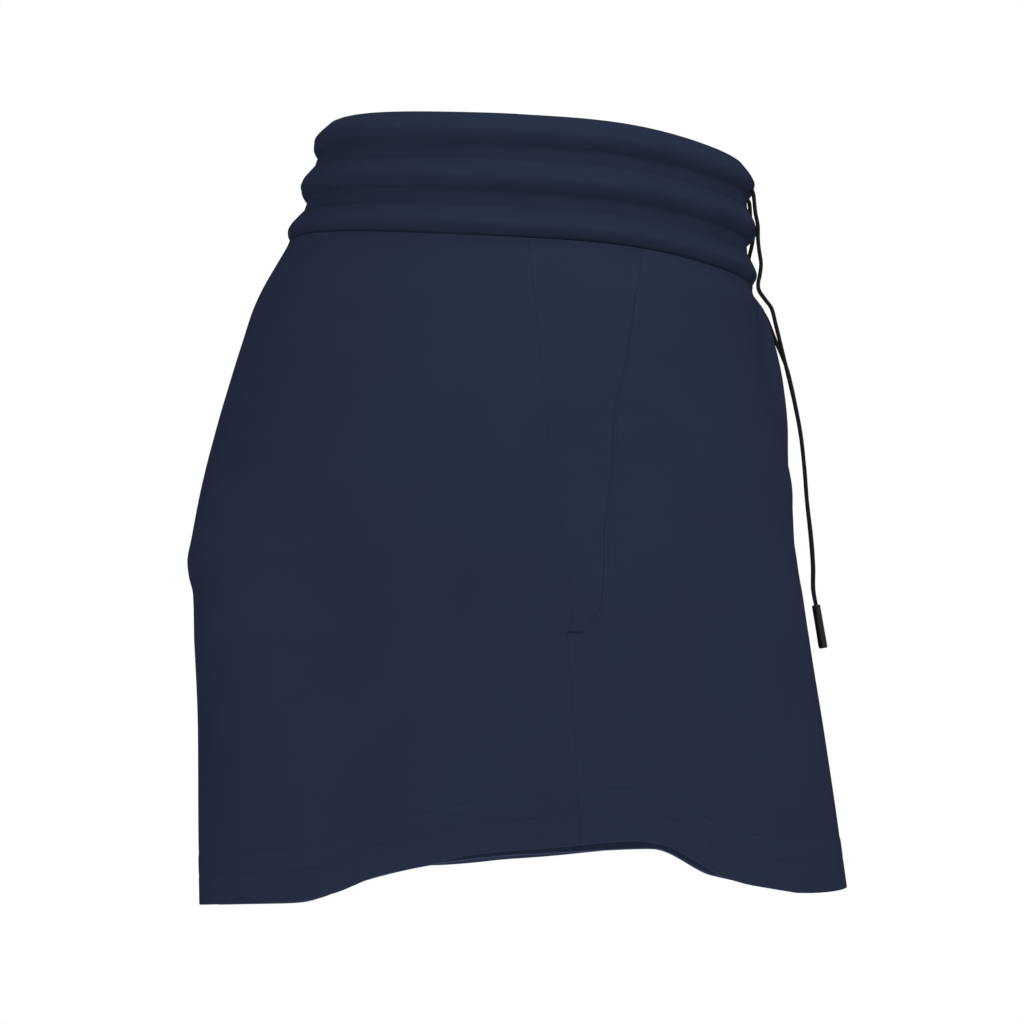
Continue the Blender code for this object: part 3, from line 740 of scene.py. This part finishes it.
def side_seam(row):
    """The share of the way round at which the side seam crosses a row."""
    height = heights_of(row, 0.5)[1]
    return share_of(height, read(SIDE_SEAM, height, "y"))


def pocket_mouth(row):
    """The share at which the pocket's mouth crosses a row."""
    height = heights_of(row, 0.5)[1]
    return share_of(height, read(POCKET_MOUTH, height, "y"))


print(f"the leg is {round_trip([LAST_ROW])[0] * 1000:.0f} mm round at its hem")

# %% [markdown]
# ## Relief of the sewn cloth
# Two things move the cloth off the smooth form: the folds above, and the small waves and grooves
# that two rows of stitches draw into the hem. Both are added along the form's normal. A shader's
# displacement would be lost in an export, so they are real points of the mesh.

# %% Relief
HEM_ROUND = 0.78
STITCH_ROWS = (HEM_ROW + 0.09, HEM_ROW + 0.90)
STITCH_GROOVE = 0.00012
GROOVE_WIDTH = 0.075                 # rows
PUCKER = 0.00009
PUCKER_WAVES = ((0.0127, 0.4, 1.0), (0.0178, 2.1, 0.8), (0.0291, 4.4, 0.7))   # length, start, size


def folded(folds, row, share):
    """How far some folds move the cloth outwards at a row and share."""
    level, height = heights_of(row, share)
    turn = np.degrees(turn_at(level, share)[0])
    depth = 0.0
    for fold in folds:
        down = np.clip((fold.top - height) / (fold.top - fold.bottom), 0, 1)
        away = (turn - mix(fold.turn_top, fold.turn_bottom, down)) / fold.width
        depth = depth + fold.depth * np.sin(math.pi * down ** FOLD_FULLEST) * np.exp(-away * away)
    return depth * ease(share / SEAM_HOLD) * ease((1 - share) / SEAM_HOLD)


def puckered(side, row, share):
    """The waves and grooves that the hem's stitches draw into the cloth."""
    along = share * HEM_ROUND
    shift = {"right": 0.0, "left": 1.7}[side]
    wave = sum(size * np.sin(TURN * along / length + start + shift)
               for length, start, size in PUCKER_WAVES)
    near = np.exp(-((row - HEM_ROW - 0.5) / 0.9) ** 2)
    groove = sum(np.exp(-((row - place) / GROOVE_WIDTH) ** 2) for place in STITCH_ROWS)
    return PUCKER * wave * near - STITCH_GROOVE * groove


def lie(side, row, share, lift):
    """Points of the cloth on one side of the wearer, lifted off the form."""
    moved = lift + folded(FOLDS[side] + CREASES[side], row, share) + puckered(side, row, share)
    place = form(row, share) + outward(row, share) * moved[..., None]
    place[..., 0] = np.minimum(place[..., 0], -HALF_GAP)
    if side == "left":
        turn = np.degrees(turn_at(HEM, share)[0])
        place[..., 2] += read(LEFT_HEM_LIFT, turn, "height") * ease((row - CROTCH_ROW) / LEG_ROWS)
        place[..., 0] *= -1
    return place


print("relief is ready")

# %% [markdown]
# ## Panels
# Each panel is cut from one layer, with its hem turned up inside, and sewn to its neighbours
# along the centre, the inseam and the side. A solidify modifier could thicken one surface, but
# here the thickness changes at the hem and the edges roll in at the seams. So both faces are
# laid out point by point, crowded where the shape turns quickly.

# %% Grids of the panels
PANEL_COLUMNS = 165
PANEL_ROWS = 172
EDGE_ROLL = 0.0004                   # the width over which an edge rounds off
SEAM_ROLL = 0.05                     # how much of its thickness a sewn edge loses
WAIST_TUCK = 0.0006                  # how far the panels' top edge reaches over the band
WAIST_ROLL = 0.0014                  # how far it stands out over the band
ROLL_FALL = 0.0120                   # metres down over which that goes
ROLL_DEPTH = 0.97                    # 1 would round an edge to nothing at its rim
MOUTH_END = 0.02                     # rows over which the mouth runs in to the side seam
FOOT_START, FOOT_LENGTH = 0.06, 0.05     # rows over which the wedge's foot dives under
Crowd = namedtuple("Crowd", "place width more")
ROW_CROWDS = (
    Crowd(0, 0.20, 7), Crowd(STITCH_ROWS[0], 0.16, 5), Crowd(STITCH_ROWS[1], 0.12, 5),
    Crowd(LAST_ROW, 0.14, 9), Crowd(HEM_ROW - 1, 1.5, 0.4),
)
COLUMN_CROWDS = (Crowd(0, 0.012, 7), Crowd(1, 0.012, 7))


def crowded(first, last, count, crowds):
    """Places from first to last that lie closer together around each crowd."""
    fine = np.linspace(first, last, 4000)
    density = 1 + sum(crowd.more * np.exp(-((fine - crowd.place) / crowd.width) ** 2)
                      for crowd in crowds)
    gone = np.concatenate(([0.0], np.cumsum((density[1:] + density[:-1]) / 2)))
    return np.interp(np.linspace(0, gone[-1], count + 1), gone, fine)


def hem_share(row):
    """How far the cloth has thickened into the hem: 0 above it and 1 on it."""
    return ease((row - HEM_ROW) / HEM_STEP)


def edge_distance(flat):
    """How far each point of a grid lies from its sewn edges and from each side, in metres."""
    across = np.linalg.norm(np.diff(flat, axis=1), axis=2)
    down = np.linalg.norm(np.diff(flat, axis=0), axis=2)
    from_left = np.pad(np.cumsum(across, axis=1), ((0, 0), (1, 0)))
    from_top = np.pad(np.cumsum(down, axis=0), ((1, 0), (0, 0)))
    sewn = np.minimum.reduce((from_left, from_left[:, -1:] - from_left, from_top))
    return sewn, from_top[-1:] - from_top, from_left, from_top


def cloth_wall(name, side, row, share, outside, inside):
    """A panel's closed wall over a grid of rows and shares; outside and inside are its lifts."""
    row, share = np.broadcast_arrays(row, share)
    sewn, free, from_left, from_top = edge_distance(form(row, share))
    rounded = [1 - np.sqrt(1 - ROLL_DEPTH * (1 - np.minimum(far / EDGE_ROLL, 1)) ** 2)
               for far in (sewn, free)]
    narrowing = (outside - inside) / 2 * np.maximum(rounded[0] * SEAM_ROLL, rounded[1])
    bulge = WAIST_ROLL * np.exp(-from_top / ROLL_FALL)
    layers = np.stack((lie(side, row, share, outside - narrowing + bulge),
                       lie(side, row, share, inside + narrowing)))
    layers[..., 2] += WAIST_TUCK * np.exp(-(from_top / (2 * WAIST_TUCK)) ** 2)
    places = np.stack((from_left, from_top), axis=-1)

    rows, columns = row.shape
    front = grid_faces(rows, columns).reshape(-1, 4)
    back = front[:, ::-1] + rows * columns
    index = np.arange(rows * columns).reshape(rows, columns)
    edge = np.concatenate((index[0], index[1:, -1], index[-1, -2::-1], index[-2:0:-1, 0]))
    after = np.roll(edge, -1)
    rim = np.stack((edge, after, after + rows * columns, edge + rows * columns), axis=1)
    faces = np.concatenate((front, back, rim))
    if side == "left":
        faces = faces[:, ::-1]
    return mesh_piece(name, layers, faces, np.stack((places, places)), panel_cloth)


# %% Fronts and backs
def panel_lifts(row, share):
    """The lifts of a panel's outer and inner faces, thicker over the hem."""
    turned = hem_share(row) + share * 0
    return HEM_PROUD * turned, -mix(CLOTH, HEM_CLOTH - HEM_PROUD, turned)


def panel(part, side):
    """A front or a back, from the waist seam to the hem."""
    row = crowded(0, LAST_ROW, PANEL_ROWS, ROW_CROWDS)[:, None]
    column = crowded(0, 1, PANEL_COLUMNS, COLUMN_CROWDS)
    seam = side_seam(row)
    if part == "front":
        below = ease((row - CROTCH_ROW) / MOUTH_END + 1)
        first, last = 0 * row, mix(pocket_mouth(row), seam, below)
    else:
        first, last = seam, 1 + 0 * row
    share = mix(first, last, column)
    made = cloth_wall(f"{part}_panel_{side}", side, row, share, *panel_lifts(row, share))
    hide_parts(f"{part}_{side}")
    return made


WEDGE_ROW = CROTCH_ROW + 0.15        # the wedge ends here, under the front
WEDGE_ROWS = 110
WEDGE_COLUMNS = 44


def facing(side):
    """The wedge behind the pocket's mouth: flush at the side seam, and under the front beyond it."""
    row = crowded(0, WEDGE_ROW, WEDGE_ROWS, (Crowd(0, 0.2, 6), Crowd(CROTCH_ROW, 0.2, 5)))[:, None]
    column = crowded(0, 1, WEDGE_COLUMNS, (Crowd(0.16, 0.05, 3), Crowd(1, 0.05, 4)))
    trip = round_trip(row[:, 0])[:, None]
    first = pocket_mouth(row) - POCKET_UNDERLAP / trip
    share = mix(first, side_seam(row), column)
    from_mouth = (share - pocket_mouth(row)) * trip
    sunk = -POCKET_STEP * (1 - ease(from_mouth / POCKET_SLOPE))
    sunk = sunk - POCKET_UNDER * ease(-from_mouth / POCKET_DIVE)
    foot = ease((row - CROTCH_ROW + FOOT_START) / FOOT_LENGTH)
    sunk = mix(sunk, -POCKET_STEP - POCKET_UNDER, foot)
    made = cloth_wall(f"pocket_wedge_{side}", side, row, share, sunk, sunk - CLOTH)
    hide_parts(f"pocket_facing_{side}")
    return made


SIDES = ("right", "left")            # of the wearer
panels = {(part, side): panel(part, side) for part in ("front", "back") for side in SIDES}
wedges = {side: facing(side) for side in SIDES}
print("panels of", len(panels["front", "right"].data.polygons), "faces each")

# %% [markdown]
# ## Waistband
# The band is one strip of the same cloth, folded over three rows of elastic. Two flat strips are
# stitched between them, and the elastic puffs the cloth out in three rolls that sag a little.
# One profile swept round the waist gives it. Slow waves round the band keep the rolls from
# looking turned on a lathe, and there is a shallow join at the centre back.

# %% Waistband sizes and profile
CHANNELS = 3
CHANNEL_HEIGHT = 0.0150
STRIP_HEIGHT = (BAND_HEIGHT - CHANNELS * CHANNEL_HEIGHT) / (CHANNELS - 1)
CHANNEL_SWELL = 0.0045
CHANNEL_LINING = 0.0015
CHANNEL_SAG = 1.20                   # above 1 puts the fullest place under the middle
CHANNEL_POINT = 1.75                 # 1 is a sharp ridge, 2 is round; the solids are rounder
STRIP_LEAN = 0.0004                  # how far a flat strip leans out at its foot
CHANNEL_EDGE = 0.0006                # how far a channel's upper edge stands over the strip
EDGE_RISE = 0.0003
STRIP_CLOTH = 0.0022                 # two layers and the elastic between them
BAND_MAP_RADIUS = 0.119              # metres, for the band's map
BAND_COLUMNS = 660
CHANNEL_STEPS = 26
CHANNEL_CROWDING = 0.3               # how much closer the steps lie at a channel's ends
STRIP_STEPS = 7
LINING_STEPS = 8
BAND_NORMAL_STEP = 0.02
BandCut = namedtuple("BandCut", "drop front back half_width")
BAND_CUTS = (
    BandCut(0.000, 0.1062, 0.0893, 0.1272),
    BandCut(0.018, 0.1082, 0.0953, 0.1293),
    BandCut(0.040, 0.1082, 0.1004, 0.1308),
    BandCut(BAND_HEIGHT, 0.1082, 0.1058, 0.1325),
)
TOP_ROUNDING = ((0.0007, -0.0001), (0.0002, -0.0005), (0.0000, -0.0011), (0.0002, -0.0017))
FOOT_TUCK = (
    (0.0573, -0.0002), (0.0580, -0.0006), (0.0592, -0.0008), (0.0596, -0.0013), (0.0592, -0.0018),
)


def swell(drop):
    """How full a channel is at a drop below its own top edge, from 0 to 1."""
    share = np.clip(drop / CHANNEL_HEIGHT, 0, 1) ** CHANNEL_SAG
    return 1 - np.abs(2 * share - 1) ** CHANNEL_POINT


def band_profile():
    """The closed outline of the band's cut: each point's drop, lift, share of swelling and channel."""
    outline = [(drop, lift, 0.0, 0) for drop, lift in reversed(TOP_ROUNDING)]
    for channel in range(CHANNELS):
        top = channel * (CHANNEL_HEIGHT + STRIP_HEIGHT)
        first, last = (0.0007 if channel == 0 else 0.0), CHANNEL_HEIGHT
        for drop in np.linspace(0, 1, CHANNEL_STEPS + 1):
            drop = first + (last - first) * (drop - CHANNEL_CROWDING * math.sin(TURN * drop) / TURN)
            share = drop / CHANNEL_HEIGHT
            lift = STRIP_LEAN * (1 - ease(3 * share))
            lift = lift + CHANNEL_EDGE * ease(drop / EDGE_RISE) * (1 - share)
            outline.append((top + drop, float(lift) if channel else 0.0, float(swell(drop)), channel))
        if channel < CHANNELS - 1:
            for step in range(1, STRIP_STEPS):
                far = step / STRIP_STEPS
                down = top + CHANNEL_HEIGHT + STRIP_HEIGHT * far
                outline.append((down, STRIP_LEAN * far, 0.0, channel))
    outline = outline[:-1] + [(drop, lift, 0.0, CHANNELS - 1) for drop, lift in FOOT_TUCK]
    for channel in reversed(range(CHANNELS)):
        top = channel * (CHANNEL_HEIGHT + STRIP_HEIGHT)
        for step in range(LINING_STEPS, -1, -1):
            down = top + CHANNEL_HEIGHT * step / LINING_STEPS
            bulge = CHANNEL_LINING * math.sin(math.pi * step / LINING_STEPS)
            outline.append((down, -STRIP_CLOTH - bulge, 0.0, channel))
    return np.array(outline)


print("the band's outline has", len(band_profile()), "points")

# %% The band's surface
GATHER_WAVES = (                     # waves round the band, start, size, for each channel in turn
    ((37, 0.3, 0.00012), (61, 1.9, 0.00009), (23, 4.0, 0.00016)),
    ((41, 2.2, 0.00010), (57, 0.8, 0.00010), (19, 5.1, 0.00018)),
    ((35, 3.1, 0.00013), (67, 2.7, 0.00008), (27, 1.2, 0.00015)),
)
FULLNESS_WAVES = ((3, 0.9, 0.035), (5, 2.3, 0.025), (8, 4.2, 0.02))
BACK_JOIN = 0.0006
BACK_JOIN_WIDTH = 0.009              # radians


def band_ring(angle, drop):
    """The band's smooth form at an angle and drop, without its height."""
    sine, cosine = np.sin(angle), np.cos(angle)
    long = np.where(sine > 0, read(BAND_CUTS, drop, "back"), read(BAND_CUTS, drop, "front"))
    across = read(BAND_CUTS, drop, "half_width")
    x, y = across * power(cosine, 2 / OVAL), long * power(sine, 2 / OVAL)
    return np.stack((x, y, 0 * x), axis=-1)


def band_normal(angle, drop):
    """The level direction out of the band at an angle and drop."""
    along = band_ring(angle + BAND_NORMAL_STEP, drop) - band_ring(angle - BAND_NORMAL_STEP, drop)
    return unit(np.stack((along[..., 1], -along[..., 0], 0 * along[..., 0]), axis=-1))


def gathered(angle, fullness, channel):
    """How far the cloth lies off the form on a channel, with its slow waves and small gathers."""
    fuller = 1 + sum(size * np.sin(waves * angle + start + channel)
                     for waves, start, size in FULLNESS_WAVES)
    gathers = 0.0
    for number, waves in enumerate(GATHER_WAVES):
        own = sum(size * np.sin(count * angle + start) for count, start, size in waves)
        gathers = gathers + np.where(channel == number, own, 0.0)
    join = BACK_JOIN * np.exp(-((angle - math.pi / 2) / BACK_JOIN_WIDTH) ** 2)
    return fullness * (CHANNEL_SWELL * fuller + gathers) - join


def band_point(angle, drop, lift, fullness=0.0, channel=0):
    """Points of the waistband at an angle round it, a drop below its top edge and a lift off it."""
    angle, drop = np.broadcast_arrays(angle, drop)
    off = lift + gathered(angle, fullness, channel)
    place = band_ring(angle, drop) + band_normal(angle, drop) * off[..., None]
    turn = np.arctan2(-np.sin(angle), -np.abs(np.cos(angle))) % TURN
    place[..., 2] = BAND_TOP - drop + waist_rise(place[..., 1], turn)
    return place


def waistband():
    """The band: one ring with three swollen channels and two flat strips."""
    outline = band_profile()
    drop, lift, fullness, channel = outline.T[:, :, None]
    angle = (np.arange(BAND_COLUMNS) + 0.5) * TURN / BAND_COLUMNS
    points = band_point(angle, drop, lift, fullness, channel)
    ring = np.concatenate((points, points[:1]))
    faces = ring_faces(len(outline), BAND_COLUMNS)
    far = np.linalg.norm(np.diff(ring, axis=0), axis=2).mean(axis=1)
    down = np.concatenate(([0.0], np.cumsum(far)[:-1]))
    around = np.tile(angle * BAND_MAP_RADIUS, (len(outline), 1))
    places = np.stack((around, np.broadcast_to(down[:, None], around.shape)), axis=-1)
    made = mesh_piece("waistband_puffed", points, faces[:, ::-1], places, band_cloth)
    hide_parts("waistband")
    return made


band = waistband()
print("the waistband has", len(band.data.polygons), "faces")

# %% [markdown]
# ## Stitches
# A lockstitch shows as short dashes that dive into the cloth at both ends. Each one here is a
# tiny bent tube, and a whole seam of them is joined into one mesh. Geometry Nodes could place
# copies along a curve. Plain arrays are as short, and they know the cloth's own points.

# %% Stitch maker
STITCH = 0.0024                      # length of the thread that shows
STITCH_SPACE = 0.0031                # from one stitch to the next
THREAD = 0.00011                     # half the thread's thickness
BAND_THREAD = 0.00008
STITCH_RINGS = 6
STITCH_SIDES = 6


def stitches(name, lines, space=STITCH_SPACE, long=STITCH, thread=THREAD):
    """Rows of stitches in one mesh; each line is its points and its normals out of the cloth."""
    q = np.linspace(0, 1, STITCH_RINGS)
    arch = thread * (1.2 * np.sin(math.pi * q) ** 0.6 - 1.15)
    wide = thread * (0.35 + 0.65 * np.sin(math.pi * q) ** 0.5)
    around = np.arange(STITCH_SIDES) * TURN / STITCH_SIDES
    all_rings = []
    for points, normals in lines:
        far = length_along(points)
        count = max(1, int(far[-1] / space))
        start = (np.arange(count) + 0.5) * far[-1] / count - long / 2
        at = start[:, None] + long * q
        centre = np.stack([np.interp(at, far, points[:, axis]) for axis in range(3)], axis=-1)
        up = unit(np.stack([np.interp(at, far, normals[:, axis]) for axis in range(3)], axis=-1))
        ahead = unit(centre[:, -1:] - centre[:, :1])
        side = unit(np.cross(up, ahead))
        centre = centre + up * arch[:, None]
        ring = (np.cos(around)[:, None] * side[:, :, None] + np.sin(around)[:, None] * up[:, :, None])
        all_rings.append(centre[:, :, None] + ring * wide[:, None, None])
    rings = np.concatenate(all_rings)
    count = len(rings)
    one = grid_faces(STITCH_RINGS, STITCH_SIDES, closed=True).reshape(-1, 4)
    faces = (one[None] + np.arange(count)[:, None, None] * STITCH_RINGS * STITCH_SIDES).reshape(-1, 4)
    places = np.zeros((count, STITCH_RINGS, STITCH_SIDES, 2))
    places[..., 0] = around / TURN
    places[..., 1] = (q * long)[:, None]
    return mesh_piece(name, rings, faces, places, navy_thread)


def cloth_line(side, row, share, lift, inside=False):
    """A line on the cloth for stitches: its points and the normals out of it."""
    row, share = np.broadcast_arrays(np.asarray(row, dtype=float), share)
    points = lie(side, row, share, lift + 0 * share)
    normals = outward(row, share)
    if side == "left":
        normals = normals * (-1, 1, 1)
    return points, -normals if inside else normals


# %% Hem stitches
ALL_ROUND = np.linspace(0.002, 0.998, 900)


def hem_stitches(side):
    """Two rows round a leg, on its outside and its inside."""
    lines = []
    for row in STITCH_ROWS:
        turned = hem_share(np.array(row))
        lines.append(cloth_line(side, row, ALL_ROUND, HEM_PROUD * turned))
        inner = -mix(CLOTH, HEM_CLOTH - HEM_PROUD, turned)
        lines.append(cloth_line(side, row, ALL_ROUND, inner, inside=True))
    made = stitches(f"hem_stitches_{side}", lines)
    return made


hem_rows = {side: hem_stitches(side) for side in SIDES}
print("hem stitches:", {side: len(made.data.polygons) for side, made in hem_rows.items()}, "faces")

# %% Pocket stitches
MOUTH_STITCH = 0.0016                # from the mouth's edge
TACK_THREADS = 30
TACK_HALF_HEIGHT = 0.08              # rows
TACK_STITCH, TACK_SPACE, TACK_THREAD = 0.0014, 0.0015, 0.00006


def pocket_stitches(side):
    """The edge stitch along a pocket's mouth and the bar tack at its lower end."""
    row = np.linspace(0.12, CROTCH_ROW - 0.25, 300)
    trip = round_trip(row)
    mouth = cloth_line(side, row, pocket_mouth(row) - MOUTH_STITCH / trip, 0.0)
    tack = []
    for i in range(TACK_THREADS):
        across = mix(-0.1, 1.1, (i + 0.5) / TACK_THREADS)
        share = mix(side_seam(CROTCH_ROW), pocket_mouth(CROTCH_ROW), across) * np.ones(4)
        up_and_down = CROTCH_ROW + np.linspace(-TACK_HALF_HEIGHT, TACK_HALF_HEIGHT, 4)
        tack.append(cloth_line(side, up_and_down, share, 0.0))
    rows = stitches(f"pocket_stitches_{side}", [mouth])
    bar = stitches(f"pocket_tack_{side}", tack, TACK_SPACE, TACK_STITCH, TACK_THREAD)
    return rows, bar


pocket_rows = {side: pocket_stitches(side) for side in SIDES}
print("pocket stitches and tacks are made")

# %% Waistband stitches
FROM_STRIP_EDGE = 0.0011
STRIP_EDGES = (FROM_STRIP_EDGE, STRIP_HEIGHT - FROM_STRIP_EDGE)


def band_stitches():
    """Two rows along each flat strip of the band, on its outside and its inside."""
    angle = np.linspace(0, TURN, 1500)
    lines = []
    for strip in range(CHANNELS - 1):
        top = CHANNEL_HEIGHT + strip * (CHANNEL_HEIGHT + STRIP_HEIGHT)
        for edge in STRIP_EDGES:
            drop = top + edge + 0 * angle
            normals = band_normal(angle, drop)
            lean = STRIP_LEAN * edge / STRIP_HEIGHT
            lines.append((band_point(angle, drop, 0 * angle + lean), normals))
            lines.append((band_point(angle, drop, 0 * angle - STRIP_CLOTH), -normals))
    made = stitches("band_stitches", lines, thread=BAND_THREAD)
    return made


band_rows = band_stitches()
print("band stitches:", len(band_rows.data.polygons), "faces")

# %% [markdown]
# ## Eyelets
# Each cord end leaves by a small hole that is oversewn with close stitches, like the end of a
# buttonhole. A torus would stand off the round puff, so the ring follows the puff's own surface,
# and its thickness rises and falls once for each thread.

# %% Eyelets
EYELET_RING = 0.0019
EYELET_THREAD = 0.00032
EYELET_THREADS = 30
EYELET_COLUMNS = EYELET_THREADS * 8
EYELET_SIDES = 12
EYELET_SLOPE = 0.72                  # the puff turns under here, so a drop is longer on its cloth
EYELET_STEP = 0.0002
EYELET_EVEN = 0.84                   # share of its thickness that the ring keeps between two threads


def puff_point(angle, drop):
    """Points of the top puff's surface."""
    return band_point(angle, drop, 0 * angle, swell(drop), 0)


def eyelet(side):
    """The ring of thread round the hole that the cord leaves by, laid on the puff."""
    x, y, z = CORD_ROUTES[side][0]
    angles = np.linspace(-math.pi, 0, 4000)
    drop = BAND_TOP + WAIST_TILT * y - z
    middle = angles[np.argmin(np.abs(puff_point(angles, drop + 0 * angles)[:, 0] - x))]
    around = np.arange(EYELET_COLUMNS) * TURN / EYELET_COLUMNS
    angle = middle + np.cos(around) * EYELET_RING / abs(y)
    down = drop + np.sin(around) * EYELET_RING * EYELET_SLOPE
    line = puff_point(angle, down)
    normal = unit(np.cross(puff_point(angle, down + EYELET_STEP) - line,
                           puff_point(angle + EYELET_STEP, down) - line))
    outwards = unit(np.cross(np.roll(line, -1, axis=0) - np.roll(line, 1, axis=0), normal))
    turn = np.arange(EYELET_SIDES)[:, None, None] * TURN / EYELET_SIDES
    ribs = np.abs(np.sin(around * EYELET_THREADS / 2))
    thick = EYELET_THREAD * mix(EYELET_EVEN, 1.0, ribs)[:, None]
    points = line + thick * (np.cos(turn) * outwards + np.sin(turn) * normal)
    faces = ring_faces(EYELET_SIDES, EYELET_COLUMNS)
    places = np.stack(np.broadcast_arrays(turn[..., 0] / TURN, around * EYELET_RING), axis=-1)
    made = mesh_piece(f"eyelet_threads_{side}", points, faces, places, navy_thread)
    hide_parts(f"eyelet_{side}")
    return made


eyelets = [eyelet(side) for side in SIDES]
print("eyelets:", len(eyelets[0].data.polygons), "faces each")

# %% [markdown]
# ## Area of the cloth
# Cloth keeps its area, so the area of each panel is printed: half the area of its closed wall, both
# faces and rim together. The frame compares that area with the finished mesh, and a wrong guess
# would stop the script.

for (part, side), made in panels.items():
    area = sum(face.area for face in made.data.polygons) / 2
    print(f"{made.name}: {area:.4f} square metres of cloth")

# %% [markdown]
# ## Stage and light
# The photo has a plain white ground and very soft light, stronger from above, so that the tops
# of the puffs are bright and their undersides darker. A large lamp overhead and another that
# slants down from the front give that. Weaker lamps behind, low down and under the legs, a pale
# sky and a pale floor give the rest. The stage is a wide bowl, so that no view shows its edge.
# Its far side glows white and throws nothing back, so the ground is even and quick to render.

# %% Stage
FLOOR = -0.60
BOWL = 5.2                           # metres from the middle to the wall
BOWL_BEND = 1.0
BOWL_HEIGHT = 1.2
BOWL_SEGMENTS = 96
BEND_STEPS = 12
GLOW_START, GLOW_FULL = 2.4, 4.0     # metres past the middle, away from the picture's camera
STAGE_PALE = (0.66, 0.66, 0.66)
FLOOR_GLOW = 0.24                    # the far side's is 1


def stage_bowl():
    """A pale floor that curves up into a wall all round."""
    profile = [(0.02, FLOOR), (BOWL - BOWL_BEND, FLOOR)]
    for step in range(1, BEND_STEPS + 1):
        turn = math.pi / 2 * step / BEND_STEPS
        across, up = BOWL_BEND * (math.sin(turn) - 1), BOWL_BEND * (1 - math.cos(turn))
        profile.append((BOWL + across, FLOOR + up))
    profile.append((BOWL, BOWL_HEIGHT))
    around = np.arange(BOWL_SEGMENTS) * TURN / BOWL_SEGMENTS
    points = np.array([[(far * math.cos(turn), far * math.sin(turn), z) for turn in around]
                       for far, z in profile])
    faces = grid_faces(len(profile), BOWL_SEGMENTS, closed=True).reshape(-1, 4)
    mesh = bpy.data.meshes.new("stage_bowl")
    mesh.from_pydata(points.reshape(-1, 3).tolist(), [], faces.tolist())
    mesh.shade_smooth()
    paper = Finish("stage_paper", Specular_IOR_Level=0.0, Emission_Strength=1.0)
    paper.material.cycles.emission_sampling = "NONE"
    place = paper.node("ShaderNodeTexCoord", {}, {}, "Object")
    behind = paper.node("ShaderNodeSeparateXYZ", {}, {"Vector": place})
    far = {"Value": behind, "From Min": GLOW_START, "From Max": GLOW_FULL}
    glow = paper.node("ShaderNodeMapRange", {"interpolation_type": "SMOOTHSTEP"}, far)
    grain = paper.noise(180, detail=2)
    pale = paper.blend(grain, shaded(STAGE_PALE, 0.98), shaded(STAGE_PALE, 1.02))
    paper.wear(Base_Color=paper.blend(glow, pale, (0, 0, 0, 1)),
               Emission_Color=paper.blend(glow, shaded(STAGE_PALE, FLOOR_GLOW), (1, 1, 1, 1)),
               Roughness=0.9 + grain * 0.05)
    mesh.materials.append(paper.material)
    made = bpy.data.objects.new("stage_bowl", mesh)
    bpy.context.scene.collection.objects.link(made)


stage_bowl()
print("the stage is", BOWL, "metres from the middle to its wall")

# %% Sky and lamps
SKY_STRENGTH = 0.28
MIDDLE = (0.0, 0.0, -0.15)


def lamp(name, place, aim, size, watts):
    """A square soft lamp that faces a point and is never seen itself."""
    data = bpy.data.lights.new(name, "AREA")
    data.shape = "SQUARE"
    data.size = size
    data.energy = watts
    made = bpy.data.objects.new(name, data)
    made.location = place
    made.rotation_euler = (Vector(aim) - Vector(place)).to_track_quat("-Z", "Y").to_euler()
    made.visible_camera = False
    bpy.context.scene.collection.objects.link(made)


sky = bpy.data.worlds.new("pale_sky")
sky.use_nodes = True
sky.node_tree.nodes["Background"].inputs["Color"].default_value = (1, 1, 1, 1)
sky.node_tree.nodes["Background"].inputs["Strength"].default_value = SKY_STRENGTH
bpy.context.scene.world = sky
lamp("overhead_lamp", (-0.6, -0.4, 2.6), MIDDLE, 2.2, 52)
lamp("slanting_lamp", (-1.5, -2.2, 2.0), MIDDLE, 1.8, 40)
lamp("back_lamp", (-1.5, 2.6, 0.6), MIDDLE, 1.4, 22)
lamp("low_lamp", (-3.3, 0.2, -0.42), MIDDLE, 0.4, 19)
lamp("lamp_under_the_legs", (-0.03, 0.0, -0.57), MIDDLE, 0.25, 1.4)
bpy.context.scene.view_settings.view_transform = "Standard"
print("the sky and five lamps are set")
